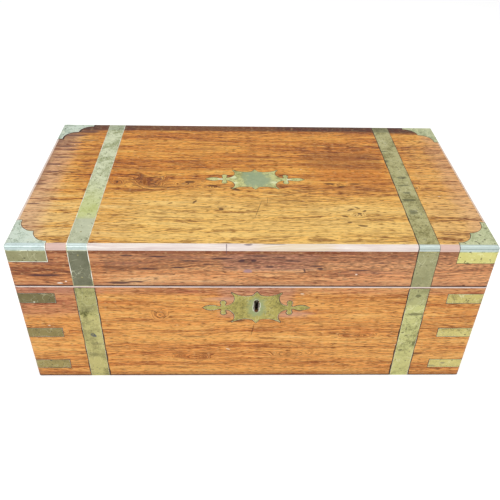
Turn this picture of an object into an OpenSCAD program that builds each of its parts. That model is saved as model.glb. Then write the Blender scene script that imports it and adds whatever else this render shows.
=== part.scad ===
// Brass-bound writing box. A hardwood case is cut along a slanted joint, so that
// the lid folds back on its hinges and both halves make one sloping desk.
// X runs along the width, -Y is the lock side, +Y the hinge side and Z is up.
// The origin is the middle of the underside.

/* [Case] */
// Width of the case, left to right
case_w = 460; // [400:1:520]
// Depth of the case, lock side to hinge side
case_d = 252; // [220:1:290]
// Height of the closed case
case_h = 177; // [160:1:200]
// Height of the base at its front edge, where the slanted joint starts
base_front_h = 128.4; // [115:0.1:132]
// Thickness of the side walls
wall_t = 11; // [10:0.5:13]
// Thickness of the top and bottom boards
panel_t = 9; // [7:0.5:11]
// Rounding of the outer edges and corners
edge_r = 4; // [2.5:0.5:6]
// Rounding of the edges that the case stands on
foot_r = 1.2; // [0.6:0.1:2]
// Gap between lid and base in the slanted joint
joint_gap = 0.3; // [0.2:0.05:0.5]

/* [Brass bands] */
// Thickness of the inlaid sheet brass
brass_t = 1.2; // [1:0.1:1.6]
// Gap round an inlaid piece in its recess
inlay_gap = 0.1; // [0.05:0.05:0.2]
// Gap under an inlaid piece in its recess
seat_gap = 0.05; // [0.02:0.01:0.1]
// Width of the long straps
strap_w = 19.3; // [14:0.1:26]
// Distance of the middle of the long straps from the ends of the case
strap_in = 67; // [58:1:74]
// Drop of the base straps below the joint
strap_drop = 2.4; // [1:0.1:6]
// Length of each arm of the short straps on the base corners
corner_strap_l = 37; // [30:0.5:42]
// Height of the short straps
corner_strap_h = 12; // [9:0.1:15]
// Height of the lowest short strap above the ground
corner_strap_z = 13.4; // [8:0.1:16]
// Spacing of the short straps
corner_strap_pitch = 46.8; // [40:0.1:48]
// Length of a lid corner piece along the front
cap_arm_x = 38.3; // [34:0.1:44]
// Length of a lid corner piece along the side
cap_arm_y = 41; // [38:0.1:46]
// Width of a lid corner piece at the end of its arms
cap_strip = 7.2; // [5:0.1:9]
// Radius of the two scoops in a lid corner piece
cap_scoop_r = 15.5; // [12:0.1:18]
// Height of a lid corner piece on the walls
cap_drop = 19; // [14:0.1:24]
// Radius of the strap pins
strap_pin_r = 0.9; // [0.7:0.1:1.2]
// Length of the strap pins
strap_pin_l = 7; // [5:0.5:8]
// Distance of the outer strap pins from the strap ends
strap_pin_edge = 11; // [8:0.5:14]

/* [Lance plates] */
// Distance of the two lance plates to the right of the middle
plate_x = 3.6; // [0:0.1:8]
// Drop of the middle of the keyhole plate below the joint at the front
plate_drop = 27.7; // [24:0.1:28]
// Position of the top plate from the middle, towards the front
plate_top_y = 5.5; // [0:0.5:12]
// Reach of the horns from the middle, sideways
horn_x = 24.6; // [24:0.1:26]
// Reach of the horns from the middle, upwards
horn_y = 19.8; // [19:0.1:21]
// Height of the middle spikes
spike_y = 21; // [20:0.1:23]
// Half width of the middle spikes
spike_half = 4.3; // [3:0.1:6]
// Radius of the scoops in the sides of the plates
side_scoop_r = 9.4; // [8.5:0.1:9.8]
// Distance of the side scoops from the middle, sideways
side_scoop_x = 31.2; // [30.6:0.1:31.6]
// Radius of the shallow scoops in the top and bottom edges
top_scoop_r = 23; // [20:0.5:28]
// Distance of the shallow scoops from the middle, sideways
top_scoop_x = 10.5; // [10:0.1:11.5]
// Depth of the shallow scoops below the horns
top_scoop_drop = 4.6; // [4:0.1:5.5]
// Distance of the cross-pieces from the middle
cross_x = 33; // [32:0.1:35]
// Half height of the cross-pieces
cross_half = 9.3; // [7:0.1:11]
// Radius of the round ends of the cross-pieces
cross_r = 2.7; // [2:0.1:3]
// Width of the cross-pieces between their round ends
cross_w = 4; // [3:0.1:4.4]
// Reach of the lance tips from the middle
lance_tip = 53.2; // [50:0.1:56]
// Half width of the lance blades
lance_half = 3.2; // [2.4:0.1:4]
// Half height of the necks between the body and the cross-pieces
neck_half = 2.7; // [2.2:0.1:3.2]
// Half height of the lance blades at their roots
root_half = 1.5; // [1.2:0.1:2]
// Height of the middle of the keyhole above the middle of its plate
keyhole_rise = 2; // [0:0.1:3]
// Overall height of the keyhole
keyhole_h = 16.4; // [15:0.1:18]
// Radius of the upper, round end of the keyhole
keyhole_r = 2.75; // [2.4:0.05:3]
// Radius of the lower end of the keyhole
keyhole_low_r = 2.2; // [1.8:0.05:2.4]
// Half width of the keyhole's waist
keyhole_waist = 1.9; // [1.5:0.05:2]

/* [Main hinges] */
// Distance of the middle of the main hinges from the ends of the case
hinge_in = 118; // [112:1:130]
// Length of a main hinge
hinge_l = 64; // [50:1:66]
// Width of a main hinge leaf
leaf_w = 9; // [8:0.1:9.5]
// Thickness of a main hinge leaf
leaf_t = 1.3; // [1:0.1:1.6]
// Radius of the main hinge barrel
barrel_r = 2.6; // [2.3:0.1:3]
// Radius of the main hinge pin
hinge_pin_r = 1.2; // [1:0.05:1.4]
// Distance of the hinge axis behind the back face
hinge_out = 0.2; // [0.2:0.05:0.5]
// Running gap round a hinge pin
pin_gap = 0.05; // [0.03:0.01:0.08]
// Gap between hinge knuckles
knuckle_gap = 0.2; // [0.15:0.05:0.3]
// Gap between a hinge barrel and the wood round it
cove_gap = 0.4; // [0.3:0.05:0.6]

/* [Screws] */
// Radius of a screw head
screw_head_r = 2.2; // [2:0.1:2.4]
// Radius of a screw shank
screw_r = 1.1; // [0.9:0.05:1.3]
// Height of a countersunk screw head
screw_head_h = 1.1; // [0.9:0.05:1.2]
// Length of a screw
screw_l = 8.5; // [6:0.5:9]
// Width of a screw slot
slot_w = 0.6; // [0.4:0.1:0.8]
// Gap round a screw in its hole
screw_gap = 0.04; // [0.02:0.01:0.08]

/* [Writing flaps] */
// Thickness of a writing flap
flap_t = 6.5; // [5.5:0.5:8]
// Drop of the writing surfaces below the joint
flap_drop = 0.6; // [0.5:0.05:1]
// Gap at the sides and front of a flap
flap_gap = 0.7; // [0.5:0.1:1.2]
// Gap between a flap and what it rests on
rest_gap = 0.3; // [0.2:0.05:0.4]
// Thickness of the writing leather
leather_t = 0.8; // [0.6:0.1:1.2]
// Width of the wooden margin round the leather
margin_w = 14; // [10:0.5:22]
// Rounding of the leather's corners
leather_r = 3; // [1:0.5:8]
// Width of the strips that the flaps rest on
bearer_w = 7; // [5:0.5:10]
// Height of the strips that the flaps rest on
bearer_h = 8; // [6:0.5:12]
// Distance of the middle of the flap hinges from the side walls
flap_hinge_in = 79; // [49:1:109]
// Length of a flap hinge
flap_hinge_l = 42; // [30:1:50]
// Thickness of a flap hinge leaf
flap_leaf_t = 0.9; // [0.8:0.05:1]
// Radius of a flap hinge barrel
flap_barrel_r = 1.8; // [1.6:0.05:1.9]
// Radius of a flap hinge pin
flap_pin_r = 0.8; // [0.6:0.05:0.95]
// Drop of a flap hinge axis below the joint
flap_axis_drop = 2.3; // [2.1:0.05:2.6]
// Distance of a flap hinge axis from the wall and from the flap
flap_axis_out = 2.3; // [2.2:0.05:2.5]
// Width of the pull tab
tab_w = 16; // [10:0.5:24]
// Thickness of the pull tab
tab_t = 0.45; // [0.3:0.05:0.5]
// Length of the pull tab on each side of the flap's edge
tab_l = 9; // [6:0.5:12]
// Width of the flap catch at its face
catch_w = 12; // [8:0.5:18]
// Length of the flap catch
catch_l = 11; // [8:0.5:13]
// Thickness of the flap catch
catch_t = 2.2; // [1.8:0.1:2.6]
// Flare of the flap catch on each side towards its back
catch_flare = 0.8; // [0.5:0.1:1]
// Radius of the finger groove in the flap catch
catch_groove_r = 2; // [1.6:0.1:2.4]
// Travel of the flap catch
catch_travel = 4; // [3:0.5:5]
// Running gap round the flap catch
catch_gap = 0.2; // [0.1:0.05:0.3]

/* [Pen and ink space] */
// Clear depth of the pen and ink space behind the front wall
tray_d = 50; // [46:1:58]
// Thickness of the board behind the pen and ink space
divider_t = 6; // [5:0.5:8]
// Room above the ink caps, below the lowest joint height over the pen tray
ink_headroom = 4; // [3:0.5:8]
// Thickness of the shelf
shelf_t = 5; // [4:0.5:7]
// Width of an ink compartment
ink_cell_w = 47; // [46:1:60]
// Thickness of the pen tray's ends
tray_end_t = 5; // [4:0.5:8]
// Thickness of wood under the pen trough
tray_floor_t = 4; // [3:0.5:6]
// Depth of the pen trough
trough_depth = 13; // [9:0.5:16]
// Half width of the pen trough
trough_half = 21; // [17:0.5:21.5]
// Drop of the pen tray below the lowest joint height over it
tray_drop = 2.5; // [1.5:0.5:6]
// Gap round loose pieces in their compartments
loose_gap = 0.3; // [0.2:0.05:0.5]
// Width of a square inkwell
ink_w = 40; // [36:1:43]
// Height of an inkwell's square body
ink_h = 41; // [36:1:43]
// Rounding of an inkwell's upright edges
ink_r = 4; // [2:0.5:6]
// Thickness of an inkwell's glass floor
ink_floor_t = 6; // [4:0.5:8]
// Thickness of an inkwell's glass shoulder
ink_shoulder_t = 5; // [3:0.5:7]
// Radius of the ink chamber
ink_bore_r = 14.5; // [12:0.5:15]
// Radius of the mouth of an inkwell
ink_mouth_r = 10.5; // [8:0.5:11]
// Radius of the neck of an inkwell
ink_neck_r = 13; // [12:0.5:14]
// Height of the neck of an inkwell
ink_neck_h = 10; // [8:0.5:10.5]
// Thickness of an ink cap's brass
ink_cap_t = 1.4; // [1:0.1:2]
// Running gap between cap and neck
ink_cap_gap = 0.15; // [0.1:0.05:0.3]

/* [Lock] */
// Width of the lock case
lock_w = 74; // [70:1:80]
// Depth of the lock from the inner face of the front wall
lock_depth = 7.2; // [7:0.1:7.6]
// Depth of the lock below the joint at the front
lock_h = 38.4; // [36:0.1:42]
// Thickness of the lock case
lock_wall = 1; // [0.8:0.1:1.1]
// Length of the top plate on the front wall and of the link plate on the lid
lock_plate_l = 90; // [88:1:100]
// Width of the top plate and link plate
lock_plate_w = 8.6; // [8.2:0.1:9]
// Thickness of the top plate and link plate
lock_plate_t = 1.5; // [1.3:0.1:1.7]
// Distance of the plate screws from the plate ends
lock_screw_edge = 4; // [3.5:0.1:4.5]
// Gap round the lock in its mortise
lock_gap = 0.15; // [0.1:0.05:0.2]
// Distance of the two hooks from the lock's middle
hook_x = 20; // [19:0.5:22]
// Width of a hook's stem
hook_w = 3.5; // [3:0.1:4]
// Thickness of a hook
hook_t = 2; // [1.8:0.1:2.2]
// Length of a hook below the joint
hook_l = 11; // [10.8:0.1:11.4]
// Height of a hook's beak
beak_h = 2.5; // [2.2:0.1:2.8]
// Length of a hook's beak
beak_l = 4.5; // [4:0.1:5]
// Gap between the hooks and what they pass
hook_gap = 0.5; // [0.4:0.05:0.6]
// Gap between a bolt finger and a hook, and in the bolt's guides
bolt_gap = 0.3; // [0.2:0.05:0.4]
// Height of the bolt bar
bolt_h = 4.6; // [4:0.1:4.8]
// Thickness of the bolt
bolt_t = 2.6; // [2.4:0.1:2.7]
// Width of the risers that carry the bolt's fingers
riser_w = 3.5; // [3:0.1:4]
// Thickness of a bolt finger
finger_t = 3; // [2.6:0.1:3.2]
// Radius of the bolt's guide pins
guide_r = 1.1; // [1:0.05:1.2]
// Distance of the bolt's guide pins from the lock's middle
guide_x = 11; // [10:0.5:12]
// Width of the notch in which the key moves the bolt
talon_w = 5.5; // [5:0.1:6]
// Height of the notch in which the key moves the bolt
talon_h = 1; // [0.8:0.1:1.2]
// Radius of the pin that the key turns on
key_pin_r = 1.1; // [0.9:0.05:1.3]
// Distance of the key pin's end behind the front face
key_pin_sink = 1.6; // [1.2:0.1:3]
// Drop of the key pin below the middle of the keyhole's round top
key_pin_drop = 1.1; // [0.8:0.1:1.3]
// Thickness of the lever
lever_t = 1.1; // [1:0.05:1.2]
// Radius of the lever's pivot
lever_pivot_r = 1.4; // [1.2:0.05:1.6]
// Distance of the lever's pivot to the left of the key pin
lever_pivot_x = 18; // [17:0.5:19]
// Drop of the lever's pivot below the key pin
lever_pivot_drop = 4; // [3:0.5:5]
// Height of the lever's arm
lever_h = 3; // [2.5:0.1:3.2]
// Height of the lever's top above the key pin
lever_rise = 6; // [5.5:0.1:6.5]
// Distance of the lever's bend to the left of the key pin
lever_bend_x = 11; // [10:0.5:12]
// Reach of the lever to the right of the key pin
lever_reach = 10; // [8:0.5:12]
// Thickness of the leaf spring
spring_t = 0.5; // [0.4:0.05:0.6]
// Radius of the leaf spring's bend
spring_bend_r = 3; // [2.5:0.1:3.2]
// Distance of the leaf spring's bend to the right of the key pin
spring_x = 8; // [7:0.5:9]
// Length of the leaf spring's upper leg
spring_upper_l = 20; // [16:0.5:24]
// Length of the leaf spring's lower leg
spring_lower_l = 14; // [12:0.5:17]

/* [Side handles] */
// Height of the middle of a handle plate above the ground
handle_z = 58; // [54:0.5:62]
// Length of a handle plate
handle_l = 96; // [92:1:104]
// Height of a handle plate
handle_h = 46; // [44:1:52]
// Rounding of a handle plate's corners
handle_r = 3; // [1:0.5:6]
// Length of the sunk pan
pan_l = 74; // [70:1:76]
// Height of the sunk pan
pan_h = 30; // [28:1:32]
// Depth of the sunk pan
pan_depth = 7.4; // [7.2:0.1:7.8]
// Thickness of the pan's walls
pan_wall = 1.8; // [1.6:0.1:2]
// Thickness of the pan's back
pan_back_t = 1; // [0.8:0.1:1.2]
// Rounding of the pan's corners
pan_r = 2; // [1:0.5:3]
// Radius of the bail's rod
bail_r = 2.7; // [2.4:0.1:2.8]
// Radius of the bail's bends
bail_bend_r = 6; // [4:0.5:8]
// Distance of the bail's axis behind the plate's face
bail_sink = 3.1; // [3:0.1:3.3]
// Height of the bail's pivots above the plate's middle
bail_pivot_y = 9; // [8:0.5:10]
// Height of the grip below the plate's middle
bail_grip_y = 9; // [7:0.5:10]
// Gap between the bail and the ends of the pan
bail_gap = 0.6; // [0.4:0.1:1]
// Radius of the bail's pivot pins
bail_pin_r = 1.5; // [1.3:0.05:1.8]
// Length of the bail's pivot pins in the pan's walls
bail_pin_l = 1.4; // [1:0.1:1.5]

/* [Hidden] */
$fn = 64;
// Overrun of cuts past the faces that they open
over = 1;
inner_w = case_w - 2 * wall_t;
inner_d = case_d - 2 * wall_t;
reach = case_w + case_d + case_h;
strap_x = case_w / 2 - strap_in;
hinge_x = case_w / 2 - hinge_in;
flap_hinge_x = inner_w / 2 - flap_hinge_in;

// The slanted joint passes through the hinge axis. Its own frame has its origin
// on that axis, its Y along the slope and its Z square to the joint, with the
// base below zero and the lid above zero.
hinge_y = case_d / 2 + hinge_out;
hinge_z = case_h / 2;
slope = atan2(base_front_h - hinge_z, case_d + hinge_out);
function slope_y(y, z) = (y - hinge_y) / cos(slope) - z * tan(slope);
function joint_z(y) = hinge_z + (hinge_y - y) * tan(slope);

divider_y = -inner_d / 2 + tray_d;
well_y = divider_y + divider_t;
divider_drop = flap_drop + rest_gap;
flap_w = inner_w - 2 * flap_gap;
flap_depth = flap_drop + flap_t;
base_flap_front = slope_y(well_y, -flap_depth) + flap_gap;
lid_flap_front = slope_y(-inner_d / 2, 0) + flap_gap;
function flap_axis_y(side) = slope_y(inner_d / 2 - flap_axis_out, side * flap_axis_drop);
function flap_back(side) = flap_axis_y(side) - flap_axis_out;
flap_knuckle_l = (flap_hinge_l - 2 * knuckle_gap) / 3;

knuckles = 5;
knuckle_l = (hinge_l - (knuckles - 1) * knuckle_gap) / knuckles;
leaf_screw_y = (barrel_r + leaf_w) / 2;
leaf_screw_x = hinge_l / 2 - 2 * screw_head_r;

tray_top_z = joint_z(divider_y) - tray_drop;
shelf_z = joint_z(divider_y) - ink_headroom - 2 * ink_cap_t - ink_neck_h - ink_h;
tray_l = inner_w - 2 * ink_cell_w;
tray_slab_t = trough_depth + tray_floor_t;
trough_r = (trough_half * trough_half + trough_depth * trough_depth) / (2 * trough_depth);
ink_x = inner_w / 2 - ink_cell_w / 2;
ink_y = -inner_d / 2 + tray_d / 2;
ink_cap_in_r = ink_neck_r + ink_cap_gap;

spike_base = horn_y - top_scoop_drop;
side_scoop_y = neck_half + side_scoop_r;
plate_z = base_front_h - plate_drop;
lock_z = base_front_h - lock_h;
lock_back_y = -inner_d / 2;
lock_front_y = lock_back_y - lock_depth;
lock_cap_y = lock_back_y - lock_wall;
lock_face_y = lock_front_y + lock_wall;
lock_plate_y = slope_y(lock_back_y, 0);
lock_under = joint_gap / 2 + lock_plate_t;
hook_y = slope_y((lock_face_y + lock_cap_y) / 2 + hook_l * sin(slope) / 2, 0);
keyhole_z = plate_z + keyhole_rise;
key_pin_z = keyhole_z + keyhole_h / 2 - keyhole_r - key_pin_drop;
bolt_y = lock_face_y + bolt_gap;
bolt_z = joint_z(bolt_y + bolt_t) - hook_l / cos(slope) - bolt_gap - bolt_h;
beak_top_z = joint_z(bolt_y) - (hook_l - beak_h) / cos(slope);
finger_z = beak_top_z + bolt_gap + hook_t * tan(slope);
bolt_travel = beak_l;
finger_l = beak_l;
lever_y = bolt_y + bolt_t + bolt_gap;
lever_pivot_z = key_pin_z - lever_pivot_drop;
lever_top_z = key_pin_z + lever_rise;
spring_top_z = joint_z(lever_y + lever_t) - lock_under / cos(slope) - rest_gap;

// Shared outlines and frames

// A rectangle with round corners, centred on the origin
module round_rect(w, h, r) {
    square([w - 2 * r, h], center = true);
    square([w, h - 2 * r], center = true);
    for (sx = [-1, 1], sy = [-1, 1])
        translate([sx * (w / 2 - r), sy * (h / 2 - r)]) circle(r);
}

// The case seen from above
module plan(inset) {
    round_rect(case_w - 2 * inset, case_d - 2 * inset, edge_r - inset);
}

// The case seen from the front or from a side, with its feet sharper than its top
module elevation(width, inset) {
    translate([0, case_h / 2])
        round_rect(width - 2 * inset, case_h - 2 * inset, edge_r - inset);
    translate([0, case_h / 4 + inset / 2])
        round_rect(width - 2 * inset, case_h / 2 - inset, foot_r);
}

// The whole outside of the case, or the same drawn in by inset
module case_form(inset = 0) {
    intersection() {
        rotate([90, 0, 0]) linear_extrude(case_d + 4 * over, center = true) elevation(case_w, inset);
        rotate([90, 0, 90]) linear_extrude(case_w + 4 * over, center = true) elevation(case_d, inset);
        translate([0, 0, -2 * over]) linear_extrude(case_h + 4 * over) plan(inset);
    }
}

// The frame of the slanted joint
module on_slope() {
    translate([0, hinge_y, hinge_z]) rotate([-slope, 0, 0]) children();
}

// Everything that lies further than drop above the joint
module above_joint(drop) {
    on_slope() translate([-reach, -reach, drop]) cube([2 * reach, 2 * reach, reach]);
}

// Everything that lies further than drop below the joint
module below_joint(drop) {
    on_slope() translate([-reach, -reach, -reach - drop]) cube([2 * reach, 2 * reach, reach]);
}

// A box on the slope, from y0 to y1 and from depth z0 to z1 on the lid side (1) or base side (-1)
module slope_box(side, w, y0, y1, z0, z1) {
    translate([-w / 2, y0, side > 0 ? z0 : -z1]) cube([w, y1 - y0, z1 - z0]);
}

// One mitred wall seen from above: 0 front, 1 right, 2 back, 3 left
module wall_plan(side) {
    outer = [[-case_w, -case_d], [case_w, -case_d], [case_w, case_d], [-case_w, case_d]] / 2;
    inner = [[-inner_w, -inner_d], [inner_w, -inner_d], [inner_w, inner_d], [-inner_w, inner_d]] / 2;
    next = (side + 1) % 4;
    polygon([outer[side], outer[next], inner[next], inner[side]]);
}

module base_wall(side) {
    intersection() {
        case_form();
        linear_extrude(case_h) wall_plan(side);
        below_joint(joint_gap / 2);
    }
}

module lid_wall(side) {
    intersection() {
        case_form();
        linear_extrude(case_h - panel_t) wall_plan(side);
        above_joint(joint_gap / 2);
    }
}

// The space between the walls, from y0 back to the back wall
module inside(y0) {
    translate([-inner_w / 2, y0, 0]) cube([inner_w, inner_d / 2 - y0, case_h]);
}

// A countersunk wood screw along -Z with its head at zero. With grow it is its own hole.
module screw(grow = 0) {
    difference() {
        union() {
            translate([0, 0, -screw_head_h])
                cylinder(h = screw_head_h, r1 = screw_r + grow, r2 = screw_head_r + grow);
            translate([0, 0, -screw_l - grow]) cylinder(h = screw_l + grow, r = screw_r + grow);
            if (grow > 0)
                cylinder(h = over, r = screw_head_r + grow);
        }
        if (grow == 0)
            translate([-2 * screw_head_r, -slot_w / 2, -screw_head_h / 2])
                cube([4 * screw_head_r, slot_w, screw_head_h]);
    }
}

// A headless pin along -Z with its end at zero. With grow it is its own hole.
module strap_pin(grow = 0) {
    translate([0, 0, -strap_pin_l - grow])
        cylinder(h = strap_pin_l + grow + (grow > 0 ? over : 0), r = strap_pin_r + grow);
}

// Places of the strap pins, each with -Z pointing into the wood

module at_front(x, z) {
    translate([x, -case_d / 2, z]) rotate([90, 0, 0]) children();
}

module at_back(x, z) {
    translate([x, case_d / 2, z]) rotate([-90, 0, 0]) children();
}

module base_front_pins(sx) {
    low = strap_pin_edge;
    high = base_front_h - strap_drop - strap_pin_edge;
    for (z = [low, (low + high) / 2, high])
        at_front(sx * strap_x, z) children();
}

module base_back_pins(sx) {
    for (z = [strap_pin_edge, hinge_z - strap_drop - strap_pin_edge])
        at_back(sx * strap_x, z) children();
}

module lid_pins(sx) {
    for (z = [base_front_h + strap_pin_edge, case_h - strap_pin_edge])
        at_front(sx * strap_x, z) children();
    for (z = [hinge_z + strap_pin_edge, case_h - strap_pin_edge])
        at_back(sx * strap_x, z) children();
    for (k = [-1, 0, 1])
        translate([sx * strap_x, k * (case_d / 2 - 2 * strap_pin_edge), case_h]) children();
}

// Inlaid brass. With grow each piece is its own recess, open to the outside.

// The outer skin of the case, or the space that its recess takes
module skin(grow) {
    difference() {
        case_form(grow > 0 ? -over : 0);
        case_form(brass_t + (grow > 0 ? seat_gap : 0));
    }
}

module base_front_strap(sx, grow = 0) {
    intersection() {
        translate([sx * strap_x - strap_w / 2 - grow, -case_d / 2 - (grow > 0 ? over : 0), 0])
            cube([
                strap_w + 2 * grow,
                brass_t + (grow > 0 ? over + seat_gap : 0),
                base_front_h - strap_drop + grow
            ]);
        case_form(grow > 0 ? -over : 0);
    }
}

module base_back_strap(sx, grow = 0) {
    intersection() {
        translate([
            sx * strap_x - strap_w / 2 - grow,
            case_d / 2 - brass_t - (grow > 0 ? seat_gap : 0),
            0
        ])
            cube([
                strap_w + 2 * grow,
                brass_t + (grow > 0 ? over + seat_gap : 0),
                hinge_z - strap_drop + grow
            ]);
        case_form(grow > 0 ? -over : 0);
    }
}

// A strap that comes up the lid's front, over its top and down its back
module lid_strap(sx, grow = 0) {
    intersection() {
        translate([sx * strap_x, 0, 0]) rotate([90, 0, 90])
            linear_extrude(strap_w + 2 * grow, center = true)
                difference() {
                    elevation(case_d, grow > 0 ? -over : 0);
                    elevation(case_d, brass_t + (grow > 0 ? seat_gap : 0));
                }
        above_joint(grow > 0 ? 0 : joint_gap / 2);
    }
}

// The lid corner piece seen from above, with the corner of the case at the origin
module cap_plan(grow) {
    scoop = cap_strip + cap_scoop_r;
    difference() {
        translate([-over, -over]) square([cap_arm_x + over + grow, cap_arm_y + over + grow]);
        translate([cap_arm_x, scoop]) circle(cap_scoop_r - grow);
        translate([scoop, cap_arm_x]) circle(cap_scoop_r - grow);
        translate([scoop + grow, scoop + grow]) square(2 * cap_arm_y);
        translate([cap_strip + grow, cap_arm_x]) square(2 * cap_arm_y);
    }
}

module lid_corner(sx, sy, grow = 0) {
    mirror([sx > 0 ? 1 : 0, 0, 0]) mirror([0, sy > 0 ? 1 : 0, 0])
        intersection() {
            skin(grow);
            translate([-case_w / 2, -case_d / 2, case_h - cap_drop - grow])
                linear_extrude(cap_drop + grow + over) cap_plan(grow);
        }
}

// A short strap round an upright corner
module corner_strap(sx, sy, level, grow = 0) {
    z = corner_strap_z + level * corner_strap_pitch;
    mirror([sx > 0 ? 1 : 0, 0, 0]) mirror([0, sy > 0 ? 1 : 0, 0])
        translate([0, 0, z - grow]) linear_extrude(corner_strap_h + 2 * grow)
            intersection() {
                difference() {
                    plan(grow > 0 ? -over : 0);
                    plan(brass_t + (grow > 0 ? seat_gap : 0));
                }
                translate([-case_w / 2 - over, -case_d / 2 - over])
                    square(corner_strap_l + over + grow);
            }
}

// Front corners hold as many short straps as fit below the joint, back corners likewise
function strap_levels(height) = [
    for (k = [0:3])
        if (corner_strap_z + k * corner_strap_pitch + corner_strap_h + over < height) k
];
front_levels = strap_levels(joint_z(-case_d / 2 + corner_strap_l));
back_levels = strap_levels(hinge_z);

module all_corner_straps(grow = 0) {
    for (sx = [-1, 1]) {
        for (k = front_levels) corner_strap(sx, -1, k, grow);
        for (k = back_levels) corner_strap(sx, 1, k, grow);
    }
}

// The lance plate: a body with four horns and two spikes, and a lance at each side

module lance_body(grow) {
    difference() {
        union() {
            square([2 * (horn_x + grow), 2 * (horn_y + grow)], center = true);
            square([2 * side_scoop_x, side_scoop_y], center = true);
        }
        for (sx = [-1, 1], sy = [-1, 1]) {
            translate([sx * side_scoop_x, sy * side_scoop_y]) circle(side_scoop_r - grow);
            translate([sx * top_scoop_x, sy * (spike_base + top_scoop_r)])
                circle(top_scoop_r - grow);
        }
    }
}

module lance_spikes(grow) {
    polygon([
        [0, spike_y + grow], [spike_half + grow, spike_base],
        [spike_half + grow, -spike_base], [0, -spike_y - grow],
        [-spike_half - grow, -spike_base], [-spike_half - grow, spike_base]
    ]);
}

module lance_blade(grow) {
    start = cross_x + cross_r;
    middle = (start + lance_tip) / 2;
    half = (lance_tip - start) / 2;
    blade_r = (half * half + lance_half * lance_half) / (2 * lance_half);
    translate([(cross_x + middle) / 2, 0])
        square([middle - cross_x, 2 * (root_half + grow)], center = true);
    intersection_for (sy = [-1, 1])
        translate([middle, sy * (blade_r - lance_half)]) circle(blade_r + grow);
}

module lance_plate(h, grow = 0) {
    linear_extrude(h) lance_body(grow);
    linear_extrude(h) lance_spikes(grow);
    linear_extrude(h) square([2 * cross_x, 2 * (neck_half + grow)], center = true);
    for (sx = [-1, 1]) {
        mirror([sx > 0 ? 0 : 1, 0, 0]) linear_extrude(h) lance_blade(grow);
        translate([sx * cross_x, 0, h / 2])
            cube([cross_w + 2 * grow, 2 * (cross_half - cross_r), h], center = true);
        for (sy = [-1, 1])
            translate([sx * cross_x, sy * (cross_half - cross_r), 0]) cylinder(h = h, r = cross_r + grow);
    }
}

// The keyhole: a round top, a narrower waist and a round foot
module keyhole(grow = 0) {
    top = keyhole_h / 2 - keyhole_r;
    foot = -keyhole_h / 2 + keyhole_low_r;
    translate([0, top]) circle(keyhole_r + grow);
    translate([0, foot]) circle(keyhole_low_r + grow);
    square([2 * (keyhole_waist + grow), 2 * top], center = true);
}

module keyhole_cut(grow, y0, y1) {
    translate([plate_x, y1, keyhole_z]) rotate([90, 0, 0]) linear_extrude(y1 - y0) keyhole(grow);
}

// Main hinges, drawn in the frame of the joint with the axis along X at the origin

module x_cylinder(l, r) {
    rotate([0, 90, 0]) cylinder(h = l, r = r, center = true);
}

function knuckle_at(k) = -hinge_l / 2 + knuckle_l / 2 + k * (knuckle_l + knuckle_gap);

module at_leaf_screws(side) {
    for (x = [-leaf_screw_x, 0, leaf_screw_x])
        translate([x, -leaf_screw_y, side * joint_gap / 2])
            rotate([side > 0 ? 180 : 0, 0, 0]) children();
}

module hinge_leaf(side) {
    own = side > 0 ? 1 : 0;
    difference() {
        union() {
            slope_box(side, hinge_l, -leaf_w, 0, joint_gap / 2, joint_gap / 2 + leaf_t);
            for (k = [own:2:knuckles - 1])
                translate([knuckle_at(k), 0, 0]) x_cylinder(knuckle_l, barrel_r);
        }
        x_cylinder(hinge_l + 2 * over, hinge_pin_r + pin_gap);
        for (k = [1 - own:2:knuckles - 1])
            translate([knuckle_at(k), 0, 0])
                x_cylinder(knuckle_l + 2 * knuckle_gap, barrel_r + knuckle_gap);
        at_leaf_screws(side) screw(screw_gap);
    }
}

module at_hinges() {
    for (sx = [-1, 1])
        on_slope() translate([sx * hinge_x, 0, 0]) children();
}

// What the hinges take out of a wall's edge
module hinge_recess(side) {
    at_hinges() {
        slope_box(
            side, hinge_l + 2 * inlay_gap, -leaf_w - inlay_gap, over,
            0, joint_gap / 2 + leaf_t + seat_gap
        );
        x_cylinder(hinge_l + 2 * cove_gap, barrel_r + cove_gap);
        at_leaf_screws(side) screw(screw_gap);
    }
}

// Flap hinges, with their leaves upright in the gap between wall and flap

module at_flap_axis(side) {
    for (sx = [-1, 1])
        on_slope() translate([sx * flap_hinge_x, flap_axis_y(side), side * flap_axis_drop]) children();
}

module flap_fixed_leaf(side) {
    leaf_h = flap_t - flap_axis_drop + flap_drop;
    difference() {
        union() {
            rotate([slope, 0, 0])
                translate([-flap_hinge_l / 2, flap_axis_out - flap_leaf_t, side > 0 ? 0 : -leaf_h])
                    cube([flap_hinge_l, flap_leaf_t, leaf_h]);
            for (sx = [-1, 1])
                translate([sx * (flap_knuckle_l + knuckle_gap), 0, 0])
                    x_cylinder(flap_knuckle_l, flap_barrel_r);
        }
        x_cylinder(flap_hinge_l + 2 * over, flap_pin_r + pin_gap);
        x_cylinder(flap_knuckle_l + 2 * knuckle_gap, flap_barrel_r + knuckle_gap);
    }
}

module flap_moving_leaf(side) {
    leaf_h = flap_t - 2 * leather_t;
    difference() {
        union() {
            translate([0, -flap_axis_out, -side * flap_axis_drop])
                slope_box(
                    side, flap_hinge_l, 0, flap_leaf_t,
                    flap_drop + leather_t, flap_drop + leather_t + leaf_h
                );
            x_cylinder(flap_knuckle_l, flap_barrel_r);
        }
        x_cylinder(flap_hinge_l + 2 * over, flap_pin_r + pin_gap);
        for (sx = [-1, 1])
            translate([sx * (flap_knuckle_l + knuckle_gap), 0, 0])
                x_cylinder(flap_knuckle_l + 2 * knuckle_gap, flap_barrel_r + knuckle_gap);
    }
}

// The writing leather of a flap, let in flush with the margin
module leather(side, front, grow = 0) {
    l = flap_back(side) - front;
    above = grow > 0 ? over : 0;
    below = grow > 0 ? seat_gap : 0;
    translate([0, front + l / 2, side > 0 ? flap_drop - above : -flap_drop - leather_t - below])
        linear_extrude(leather_t + above + below)
            round_rect(flap_w - 2 * margin_w + 2 * grow, l - 2 * margin_w + 2 * grow, leather_r + grow);
}

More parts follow.
